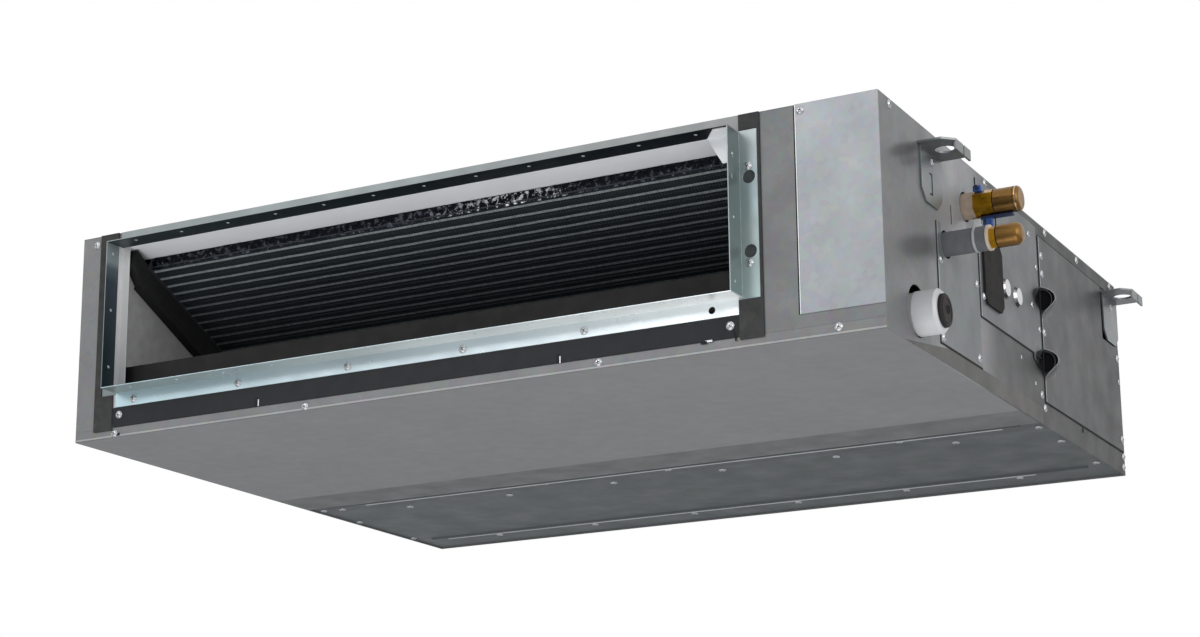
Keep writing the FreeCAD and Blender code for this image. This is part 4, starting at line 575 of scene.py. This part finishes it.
def corners_of(first, second):
    """The four corners of a rectangle from its two (low, high) pairs."""
    return (first[0], second[0]), (first[1], second[0]), (first[1], second[1]), (first[0], second[1])


def side_mark(mesh, deep, high, across, index=0):
    """A flat mark that looks right, from (low, high) pairs."""
    panel(mesh, [spot(across, d, h) for d, h in corners_of(deep, high)], RIGHTWARD, index)


def front_mark(mesh, across, high, deep, index=0):
    """A flat mark that looks forward, from (low, high) pairs."""
    panel(mesh, [spot(a, deep, h) for a, h in corners_of(across, high)], FORWARD, index)


def under_mark(mesh, across, deep, high, index=0):
    """A flat mark that looks down, from (low, high) pairs."""
    panel(mesh, [spot(a, d, high) for a, d in corners_of(across, deep)], DOWNWARD, index)


def line(mesh, start, end, width, outward, index=0):
    """A thin flat line between two spots, in the surface that looks outward."""
    start, end = spot(*start), spot(*end)
    aside = (end - start).cross(Vector(outward)).normalized() * (width * MM / 2)
    panel(mesh, [start - aside, end - aside, end + aside, start + aside], outward, index)


def skin(mesh, rows, outward, smooth=False):
    """Faces between rows of points, each turned to look outward."""
    for before, after in zip(rows, rows[1:]):
        for place in range(len(before) - 1):
            face = mesh.faces.new((before[place], before[place + 1], after[place + 1], after[place]))
            face.smooth = smooth
            face.normal_update()
            if face.normal.dot(Vector(outward)) < 0:
                face.normal_flip()


# Screws: a washer head with a dome and a cross recess of painted shade
WASHER = 4.6
DOME = 3.5
SCREW_SEGMENTS = 16
SCREW_PROFILE = (
    (WASHER, 0), (WASHER, 0.5), (WASHER - 0.4, 0.75), (DOME, 0.8), (DOME * 0.93, 1.5), (DOME * 0.7, 1.85),
    (DOME * 0.4, 1.98), (0, 2.0),
)
RECESS_HEIGHT = 2.04
RECESS_REACH = 2.0
RECESS_HALF = 0.42


def screw(mesh, point, normal):
    """A screw head at a point, with its cross turned at random."""
    normal = Vector(normal).normalized()
    lathe(mesh, SCREW_PROFILE, point, normal, SCREW_SEGMENTS)
    turn = random.uniform(0, math.pi)
    side = Matrix.Rotation(turn, 3, normal) @ normal.orthogonal().normalized()
    other = normal.cross(side)
    level = point + normal * RECESS_HEIGHT * MM
    for first, second in ((side, other), (other, side)):
        reach, half = first * RECESS_REACH * MM, second * RECESS_HALF * MM
        corners = (level + reach + half, level - reach + half, level - reach - half, level + reach - half)
        face = mesh.faces.new([mesh.verts.new(corner) for corner in corners])
        face.material_index = 1


def screws(name, body, places, normal):
    """One piece with a screw at each (across, deep, high) place."""
    mesh = bmesh.new()
    for place in places:
        screw(mesh, spot(*place), normal)
    add_piece(name, mesh, body, [screw_bright, recess_shade])


COVER_PROUD = 1
HANGER_PROUD = 2.3
UNDER_HIGH = 2.1
SCREW_ROW = range(6)
front_places = [
    (20, 0, 235), (916, -1, 238), (63, -1, 26), (834, -1, 24.6), (857.4, -1, 189), (857, -1, 87),
    *((83 + 146.3 * step, -1, 42.3) for step in range(5)),
    (56.5, 0, 4.8), (320, 0, 4.8), (684, 0, 7), (950, 0, 8),
]
side_places = (
    (29, 239), (311, 239), (455, 220), (519, 239), (641, 238), (777, 239), (478, 186), (456, 136),
    (479, 112), (477, 35), (486, 21), (795, 23), (793, 9), (792, 118), (793, 42),
)
hanger_places = ((140.3, 210.7), (771, 210.7))
access_places = ((157.7, 110.8), (267, 111.8), (264.8, 29.4), (156, 27))
cover_places = ((497, 205), (497, 183), (494, 112), (790, 148), (790, 44))
under_places = [
    *((124 + 151 * step, 753) for step in SCREW_ROW), *((124 + 151 * step, 521) for step in SCREW_ROW),
    (37, 492), (351, 480), (520, 485), (823, 484), (10, 488), (7, 577), (5, 716),
    (989, 494), (989, 576), (989, 714),
]
screws("front_screws", "casing", front_places, FORWARD)
for name, body, across, places, normal in (
    ("side_screws", "casing", SIDE, side_places, RIGHTWARD),
    ("plate_screws", "casing", SIDE + COVER_PROUD, ((288.7, 104),), RIGHTWARD),
    ("hanger_screws", "casing", SIDE + HANGER_PROUD, hanger_places, RIGHTWARD),
    ("hanger_screws_left", "casing", -HANGER_PROUD, hanger_places, LEFTWARD),
    ("access_screws", "access_cover", SIDE + COVER_PROUD, access_places, RIGHTWARD),
    ("cover_screws", "box_cover", SIDE + COVER_PROUD, cover_places, RIGHTWARD),
):
    screws(name, body, [(across, *place) for place in places], normal)
screws("underside_screws", "casing", [(*place, UNDER_HIGH) for place in under_places], DOWNWARD)

# Ripples of the coil, one after another down its slope: lines of painted highlight, with painted shade
# darker towards the bottom
COIL_LEAN = math.radians(25.57)
COIL_START = 30
COIL_HEIGHT = 207
coil_out = Vector((0, -math.sin(COIL_LEAN), -math.cos(COIL_LEAN)))
RIPPLE = 13.68
RIPPLES = 28
RIPPLE_PARTS = 60
RIPPLE_BEFORE, RIPPLE_AFTER = 2.6, 0.7
RIPPLE_SWAY = 0.22
RIPPLE_OFF = -0.2


def coil_spot(x, along, off):
    """A point on the coil: along its slope from the upper edge, and off its lower face."""
    deep = COIL_START + math.cos(COIL_LEAN) * along + math.sin(COIL_LEAN) * off
    high = COIL_HEIGHT - math.sin(COIL_LEAN) * along + math.cos(COIL_LEAN) * off
    return Vector((x, FRONT + deep * MM, high * MM))


ripple_highlight, fin_tree, fin_shader = new_material("ripple_highlight")
# Painted highlight, fading to painted shade towards the bottom
ripple_highlight_run = place_ramp(fin_tree, Z, z_stops(
    (45, (24, 27, 28)), (90, (78, 84, 84)), (140, (132, 140, 140)), (205, (156, 163, 166))))
fin_shade = spread(fin_tree, noise(fin_tree, 260, 3, (1, 0.2, 0.2)), TEXTURE_MIDDLE, 0.7, 1.15)
fin_tree.links.new(blend(fin_tree, ripple_highlight_run, fin_shade, 1, "MULTIPLY"), fin_shader.inputs["Base Color"])
gloss(fin_tree, fin_shader, noise(fin_tree, 40, 3), 0.45, 0.6)
mesh = bmesh.new()
for step in range(RIPPLES):
    edge = RIPPLE * (step + 0.6)
    rows = []
    for part in range(RIPPLE_PARTS + 1):
        x = fins_low.x + (fins_high.x - fins_low.x) * part / RIPPLE_PARTS
        middle = edge + random.uniform(-RIPPLE_SWAY, RIPPLE_SWAY)
        rows.append([
            mesh.verts.new(coil_spot(x, along, RIPPLE_OFF))
            for along in (middle - RIPPLE_BEFORE, middle + RIPPLE_AFTER)
        ])
    skin(mesh, rows, coil_out)
add_piece("coil_ripples", mesh, "casing", [ripple_highlight])

# Crumpled foil tape at the coil's upper edge, its specks painted with glints that are brightest in a
# painted reflection near the middle
FOIL_COLUMNS = 180
FOIL_ROWS = 4
FOIL_SLIP = 0.05
FOIL_PUFF = (0.4, 2.4)
FOIL_SPECKS = (0.52, 0.6)
foil, foil_tree, foil_shader = new_material("foil")
foil_shader.inputs["Metallic"].default_value = 0.9
foil_glint_run = place_ramp(foil_tree, X, x_stops(
    (76, (90, 92, 100)), (300, (70, 72, 80)), (450, (96, 99, 107)), (505, (170, 175, 182)),
    (550, (228, 230, 234)), (608, (225, 228, 232)), (640, (80, 84, 92)), (840, (74, 78, 84))))
foil_mask = spread(foil_tree, noise(foil_tree, 170, 6, rough=0.7), FOIL_SPECKS)
foil_colour = blend(foil_tree, (*tone(26, 28, 34), 1), foil_glint_run, foil_mask)
foil_tree.links.new(foil_colour, foil_shader.inputs["Base Color"])
gloss(foil_tree, foil_shader, noise(foil_tree, 60, 4), 0.2, 0.45)
relief(foil_tree, foil_shader, noise(foil_tree, 140, 5), 0.6, 1)
mesh = bmesh.new()
grid = []
liner_low, liner_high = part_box("outlet_top_deflector")
foil_from, foil_to = fins_low.x + 2 * MM, fins_high.x - 14 * MM
for part in range(FOIL_COLUMNS + 1):
    x = foil_from + (foil_to - foil_from) * part / FOIL_COLUMNS
    start = Vector((x, liner_high.y - 1 * MM, liner_low.z - 0.4 * MM))
    end = coil_spot(x, 1.8, -1.2)
    column = []
    for place in range(FOIL_ROWS + 1):
        share = place / FOIL_ROWS
        point = start.lerp(end, share + random.uniform(-FOIL_SLIP, FOIL_SLIP))
        puff = random.uniform(*FOIL_PUFF) * math.sin(math.pi * min(1, 0.12 + share * 0.8))
        column.append(mesh.verts.new(point + coil_out * puff * MM))
    grid.append(column)
skin(mesh, grid, coil_out)
add_piece("foil_tape", mesh, "casing", [foil])

# The seal strip carried up to the corner of the top liner
SEAL_OUTLINE = ((2, 0), (2, -28), (-24, -16), (-28, 4))
seal_x = fins_low.x - 1.2 * MM
mesh = bmesh.new()
near, far = (
    [mesh.verts.new(coil_spot(x, along, off)) for along, off in SEAL_OUTLINE]
    for x in (seal_x - 12 * MM, seal_x)
)
mesh.faces.new(near)
mesh.faces.new(far[::-1])
for place in range(len(SEAL_OUTLINE)):
    after = (place + 1) % len(SEAL_OUTLINE)
    mesh.faces.new((near[place], far[place], far[after], near[after]))
bmesh.ops.recalc_face_normals(mesh, faces=mesh.faces)
add_piece("seal_corner", mesh, "casing", [looks["black_seal"]])

# Marks of the front: hem line with a painted highlight, slots of the lower plate with a painted highlight
# on one edge, side strips
BRIGHT, DARK, HEM = range(3)
PLATE_DEEP, LINE_DEEP = -1.4, -1.5
mesh = bmesh.new()
front_mark(mesh, (0, SIDE), (0.8, 2.8), -0.35, HEM)
for across, high in ((256, 17.8), (637.4, 17)):
    front_mark(mesh, (across - 2.2, across + 1.6), (high - 5, high + 4.5), PLATE_DEEP, DARK)
    front_mark(mesh, (across + 1.6, across + 3), (high - 5.5, high + 2), PLATE_DEEP, BRIGHT)
front_mark(mesh, (801, 808), (9.6, 12.6), PLATE_DEEP, DARK)
front_mark(mesh, (806, 814), (11, 13), PLATE_DEEP, BRIGHT)
line(mesh, (836.5, LINE_DEEP, 21), (839.5, LINE_DEEP, 15), 1.6, FORWARD, DARK)
line(mesh, (839.2, LINE_DEEP, 15.6), (840, LINE_DEEP, 8), 1.6, FORWARD, DARK)
front_mark(mesh, (59.6, 64.5), (1.5, 5), -0.5, DARK)
front_mark(mesh, (908.5, 909.4), (26, 244), -0.4, DARK)
front_mark(mesh, (910.3, 911.2), (26, 244), -1.3, BRIGHT)
front_mark(mesh, (27, 27.9), (12, 244), -0.4, DARK)
front_mark(mesh, (870.2, 871.2), (12, 244), -0.6, DARK)
add_piece("front_marks", mesh, "casing", [edge_bright, seam_dark, hem_highlight])

# Marks inside the collar: punch marks of the light strips, holes beside them and in the flange
PUNCH, FLANGE_HOLE, ROOT, PLATE_HOLE = range(4)
SMALL_HOLE, LARGE_HOLE = 2.2, 5
SMALL_DEEP, LARGE_DEEP = -17.5, -20.7
strip_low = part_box("opening_side_strips")[0]
strip_across, strip_deep = (strip_low.x - LEFT) / MM, (strip_low.y - FRONT) / MM
mesh = bmesh.new()
for high in (185, 86.5):
    front_mark(mesh, (strip_across + 3, strip_across + 7), (high - 3, high + 3), strip_deep - 0.3, PUNCH)
side_mark(mesh, (-7, 0), (54, 226), 58.3, ROOT)
for high in (99.3, 177.8):
    lathe(mesh, ((7.4, 0), (0, 0)), spot(858, 0.4, high), FORWARD, 24, PLATE_HOLE)
for high, size, deep in (
    (195.8, SMALL_HOLE, SMALL_DEEP), (174, LARGE_HOLE, LARGE_DEEP), (132, SMALL_HOLE, SMALL_DEEP),
    (65.6, SMALL_HOLE, SMALL_DEEP),
):
    half = size / 2
    side_mark(mesh, (deep - half, deep + half), (high - half, high + half), 848.4, FLANGE_HOLE)
add_piece("collar_marks", mesh, "casing",
          [looks["galvanised_dark"], edge_bright, looks["strip_light"], hole_grey])

# Seams round the covers, dark inside and with a painted highlight on the folded edge, and small marks of
# the side
HOOD_OUT = 17.5
HOOD_UP = 16.5
HOOD_DOWN = 21
HOOD_RUN = 40
GAP = 1.9
SEAM, FOLD = range(2)
SEAM_ACROSS, FOLD_ACROSS, MARK_ACROSS, HANGER_ACROSS = SIDE + 0.35, SIDE + 1.15, SIDE + 0.3, SIDE + 2.6
mesh = bmesh.new()
for low, high, last in (
    (access_low, access_high, "far"), (plate_low, plate_high, None), (cover_low, cover_high, "head"),
):
    near, far = (low.y - FRONT) / MM, (high.y - FRONT) / MM
    foot, head = low.z / MM, high.z / MM
    side_mark(mesh, (near - GAP, near), (foot - GAP, head), SEAM_ACROSS, SEAM)
    ends = [foot, head]
    if low is cover_low:
        for middle in HOOD_HEIGHTS.values():
            ends[1:1] = [middle - HOOD_DOWN, middle + HOOD_UP]
    for span in zip(ends[::2], ends[1::2]):
        side_mark(mesh, (near + 0.2, near + 1.3), span, FOLD_ACROSS, FOLD)
    if last == "far":
        side_mark(mesh, (far, far + GAP), (foot - GAP, head), SEAM_ACROSS, SEAM)
    side_mark(mesh, (near - GAP, far), (foot - GAP, foot), SEAM_ACROSS, SEAM)
    if last == "head":
        side_mark(mesh, (near, far), (head, head + GAP), SEAM_ACROSS, SEAM)
for deep, high, across, index in (
    ((197, 198.6), (160, 181), MARK_ACROSS, SEAM),
    ((198.8, 200), (164, 181), MARK_ACROSS, FOLD),
    ((626, 631), (21, 27), MARK_ACROSS, SEAM),
    ((407, 411), (62, 66), MARK_ACROSS, FOLD),
    ((454, 458), (42, 46), MARK_ACROSS, FOLD),
    ((131, 138.8), (195.6, 197), HANGER_ACROSS, SEAM),
    ((137, 138.8), (175, 197), HANGER_ACROSS, SEAM),
    ((131, 138.8), (173.6, 175), HANGER_ACROSS, SEAM),
):
    side_mark(mesh, deep, high, across, index)
add_piece("side_seams", mesh, "casing", [seam_dark, edge_bright])

# Painted shade in a darker lower band of the side, and the lines of the underside
mesh = bmesh.new()
band = [spot(SIDE + 0.12, deep, high) for deep, high in ((50, 0.5), (478, 0.5), (478, 20), (180, 20))]
panel(mesh, band, RIGHTWARD)
add_piece("side_band", mesh, "casing", [side_band_shade])
# Painted highlights along the rib crests, and dark lines beside them
CREST, VALLEY = range(2)
mesh = bmesh.new()
for across, deep, high, index in (
    ((85, 952), (474, 477.6), 0, CREST),
    ((50, 905), (735, 738.6), 0, CREST),
    ((85, 952), (471, 474), 0, VALLEY),
    ((50, 905), (732, 735), 0, VALLEY),
    ((2, 998), (465.4, 466.6), 0.4, VALLEY),
    ((6, 994), (500, 501), 0, VALLEY),
):
    under_mark(mesh, across, deep, high, index)
add_piece("rib_lines", mesh, "casing", [edge_bright, looks["galvanised_dark"]])

# Cable hoods: a flared skin over each hood with a painted highlight on its rim and painted shade filling
# its mouth, and the pressed hollow ahead of it
HOOD_STEPS = 28
HOOD_ROWS = 6
HOOD_BASE = SIDE + 1.1
RIM, MOUTH = 1, 2
RIM_INNER = 1 - 1.2 / 17
MOUTH_SIZE = 0.93
HOLLOW_STEPS = 16
HOLLOW_ROWS = 8
HOLLOW_BASE = SIDE + 1.15
HOLLOW_WIDTHS = (3, 16.5)
HOLLOW_STARTS = (37, 0.6)
HOLLOW_DEPTH = 7


def shares_of(steps):
    """Even shares from -1 at the foot to 1 at the head."""
    return [-1 + 2 * step / steps for step in range(steps + 1)]


def hood_spot(middle, share, out, up, behind):
    """A point of a hood, from shares of its reach and height and from behind the cover's edge."""
    if share >= 0:
        high, reach = share * HOOD_UP, HOOD_OUT * (1 - share ** 2.6)
    else:
        back = 1 + share
        high, reach = share * HOOD_DOWN, HOOD_OUT * (3 * back ** 2 - 2 * back ** 3)
    return spot(HOOD_BASE + reach * out, COVER_EDGE + behind, middle + high * up)


hood_shares = shares_of(HOOD_STEPS)
hood_pairs = list(zip(hood_shares, hood_shares[1:]))
for name, middle in HOOD_HEIGHTS.items():
    mesh = bmesh.new()
    rows = []
    for step in range(HOOD_ROWS + 1):
        part = step / HOOD_ROWS
        taper = math.cos(part * math.pi / 2) ** 1.4
        rows.append([
            mesh.verts.new(hood_spot(middle, share, taper, 0.55 + 0.45 * taper, HOOD_RUN * part))
            for share in hood_shares
        ])
    skin(mesh, rows, RIGHTWARD, True)
    for share, after in hood_pairs:
        rim = ((share, 1), (after, 1), (after, RIM_INNER), (share, RIM_INNER))
        panel(mesh, [hood_spot(middle, where, size, size, -0.3) for where, size in rim], FORWARD, RIM)
    for share, after in hood_pairs:
        mouth = ((share, MOUTH_SIZE), (after, MOUTH_SIZE), (after, 0))
        panel(mesh, [hood_spot(middle, where, size, size, 2.5) for where, size in mouth], FORWARD, MOUTH)
    add_piece("hood_skin_" + name, mesh, "box_cover",
              [node_looks["control_box_cover"], edge_bright, hood_mouth_shade])

    mesh = bmesh.new()
    rows = []
    for step in range(HOLLOW_ROWS + 1):
        part = step / HOLLOW_ROWS
        width, start = (first + (last - first) * part for first, last in (HOLLOW_WIDTHS, HOLLOW_STARTS))
        depth = HOLLOW_DEPTH * part ** 1.5
        rows.append([
            mesh.verts.new(spot(
                HOLLOW_BASE - depth * (1 - share ** 2) ** 1.5, COVER_EDGE - start, middle + share * width))
            for share in shares_of(HOLLOW_STEPS)
        ])
    skin(mesh, rows, RIGHTWARD, True)
    add_piece("hollow_skin_" + name, mesh, "casing", [node_looks["pipe_cover_plate"]])

# Clips and tag at the pipe ends
BLUE, NAVY, WHITE, SLIT = range(4)
mesh = bmesh.new()
slab(mesh, (1011, 238, 205), (1020.5, 248, 213), BLUE, 1.5)
lathe(mesh, ((2.2, 0), (2.2, 2), (0.9, 2), (0.9, 0)), spot(1016, 237, 210), FORWARD, 16, NAVY)
slab(mesh, (1018, 239, 174.8), (1054, 247, 177.4), NAVY, 0.8)
slab(mesh, (1020, 240, 167), (1031, 246, 175.4), BLUE, 1)
slab(mesh, (1022, 239.4, 168.5), (1025, 246.6, 174), NAVY, 0.5)
slab(mesh, (1009, 240, 168), (1018, 245, 176), WHITE, 1)
slab(mesh, (1032.6, 243, 165), (1033.6, 244, 175.2), SLIT)
add_piece("pipe_clips", mesh, "casing", [clip_blue, clip_navy, tag_white, seam_dark])

# Drain plug: a ring on its face, and a dimple filled with painted shade, with its own ring
RUBBER, DIMPLE = range(2)
plug_low, plug_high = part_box("drain_plug")
plug_mid = (plug_low + plug_high) / 2
base = Vector((plug_high.x + 0.02 * MM, plug_mid.y, plug_mid.z))
dimple = base + Vector((0, 3.2, 1.5)) * MM
mesh = bmesh.new()
lathe(mesh, ((14.2, 0), (14.0, 0.5), (12.6, 0.5), (12.4, 0)), base, RIGHTWARD, 32, RUBBER)
lathe(mesh, ((4.6, 0.25), (0, 0.25)), dimple, RIGHTWARD, 24, DIMPLE)
lathe(mesh, ((5.6, 0), (5.4, 0.5), (4.6, 0.5), (4.5, 0)), dimple, RIGHTWARD, 24, RUBBER)
add_piece("plug_face", mesh, "plug", [looks["plug_rubber"], recess_shade])

# Brass caps: a ring of painted shade at each joint, and a painted highlight line and a dark line round the
# gas cap
JOINT, HIGHLIGHT_LINE, DARK_LINE = range(3)
RING_SEGMENTS = 32
for name, body, cap in (("gas", "gas_cap", "gas_cap_nut"), ("liquid", "liquid_cap", "liquid_cap_nut")):
    cap_low, cap_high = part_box(cap)
    cap_mid = (cap_low + cap_high) / 2
    radius = (cap_high.z - cap_low.z) / 2 / MM
    base = Vector((cap_low.x, cap_mid.y, cap_mid.z))
    inner, outer, proud = radius * 0.9, radius * 1.012, radius * 1.008
    mesh = bmesh.new()
    joint = ((inner, -0.2), (outer, 0), (outer, 1.1), (inner, 1.3))
    lathe(mesh, joint, base, RIGHTWARD, RING_SEGMENTS, JOINT)
    if name == "gas":
        length = (cap_high.x - cap_low.x) / MM
        for start, end, index in ((4.2, 3.5, HIGHLIGHT_LINE), (6.6, 6.1, DARK_LINE)):
            ring = ((proud, length - start), (proud, length - end))
            lathe(mesh, ring, base, RIGHTWARD, RING_SEGMENTS, index)
    add_piece(name + "_cap_marks", mesh, body, [recess_shade, brass_highlight, seam_dark])

# Floor, a good way below the unit
FLOOR = -1.5
FLOOR_HALF = 8
FLOOR_PALE = (0.8, 0.8, 0.8)
floor_look, floor_tree, floor_shader = new_material("floor_pale")
floor_shader.inputs["Roughness"].default_value = 0.9
tint(floor_tree, floor_shader, noise(floor_tree, 0.7, 2), FLOOR_PALE, 0.01)
mesh = bmesh.new()
bmesh.ops.create_grid(mesh, x_segments=1, y_segments=1, size=FLOOR_HALF)
floor_data = bpy.data.meshes.new("floor")
mesh.to_mesh(floor_data)
mesh.free()
floor = bpy.data.objects.new("floor", floor_data)
floor.location = (0, 0, FLOOR)
bpy.context.scene.collection.objects.link(floor)
floor_data.materials.append(floor_look)

# World: white where it is seen, a dimmer cool sky where it lights
world = bpy.data.worlds.new("studio")
bpy.context.scene.world = world
world.use_nodes = True
sky = world.node_tree
background = sky.nodes["Background"]
background.inputs["Color"].default_value = (0.95, 0.97, 1.0, 1)
background.inputs["Strength"].default_value = 0.55
white = sky.nodes.new("ShaderNodeBackground")
white.inputs["Color"].default_value = (1, 1, 1, 1)
white.inputs["Strength"].default_value = 1.0
rays = sky.nodes.new("ShaderNodeLightPath")
seen = rays.outputs["Is Camera Ray"]
for kind in ("Is Glossy Ray", "Is Transmission Ray"):
    either = sky.nodes.new("ShaderNodeMath")
    either.operation = "MAXIMUM"
    sky.links.new(seen, either.inputs[0])
    sky.links.new(rays.outputs[kind], either.inputs[1])
    seen = either.outputs[0]
blend_sky = sky.nodes.new("ShaderNodeMixShader")
for source, socket in zip((seen, background.outputs[0], white.outputs[0]), blend_sky.inputs):
    sky.links.new(source, socket)
sky.links.new(blend_sky.outputs[0], sky.nodes["World Output"].inputs["Surface"])

# Lamps, all aimed at the middle of the unit
AIM = Vector((0, 0, 0.12))
for name, place, (wide, tall), power in (
    ("key", (-1.6, -3.2, 1.6), (2.2, 1.4), 26),
    ("fill", (2.8, -1.2, 0.6), (1.6, 1.6), 22),
    ("low", (0.2, -0.8, -1.35), (2.4, 1.6), 16),
):
    lamp_data = bpy.data.lights.new(name, "AREA")
    lamp_data.shape = "RECTANGLE"
    lamp_data.size = wide
    lamp_data.size_y = tall
    lamp_data.energy = power
    lamp = bpy.data.objects.new(name, lamp_data)
    lamp.location = place
    lamp.rotation_euler = (AIM - Vector(place)).to_track_quat("-Z", "Y").to_euler()
    bpy.context.scene.collection.objects.link(lamp)

# Camera, at the photograph's angle
CAMERA_PLACE = (1.321, -2.530, -0.622)
CAMERA_TURN = 28.06
CAMERA_TILT = 90 + 14.19
CAMERA_ROLL = -0.51
camera_data = bpy.data.cameras.new("camera")
camera_data.sensor_width = 36
camera_data.lens = 73.05
camera_data.shift_y = 0.051
camera = bpy.data.objects.new("camera", camera_data)
turn, tilt, roll = (
    Matrix.Rotation(math.radians(angle), 4, axis)
    for angle, axis in ((CAMERA_TURN, "Z"), (CAMERA_TILT, "X"), (CAMERA_ROLL, "Z"))
)
camera.matrix_world = Matrix.Translation(CAMERA_PLACE) @ turn @ tilt @ roll
bpy.context.scene.collection.objects.link(camera)
bpy.context.scene.camera = camera
bpy.context.scene.view_settings.view_transform = "Standard"

bpy.context.view_layer.update()
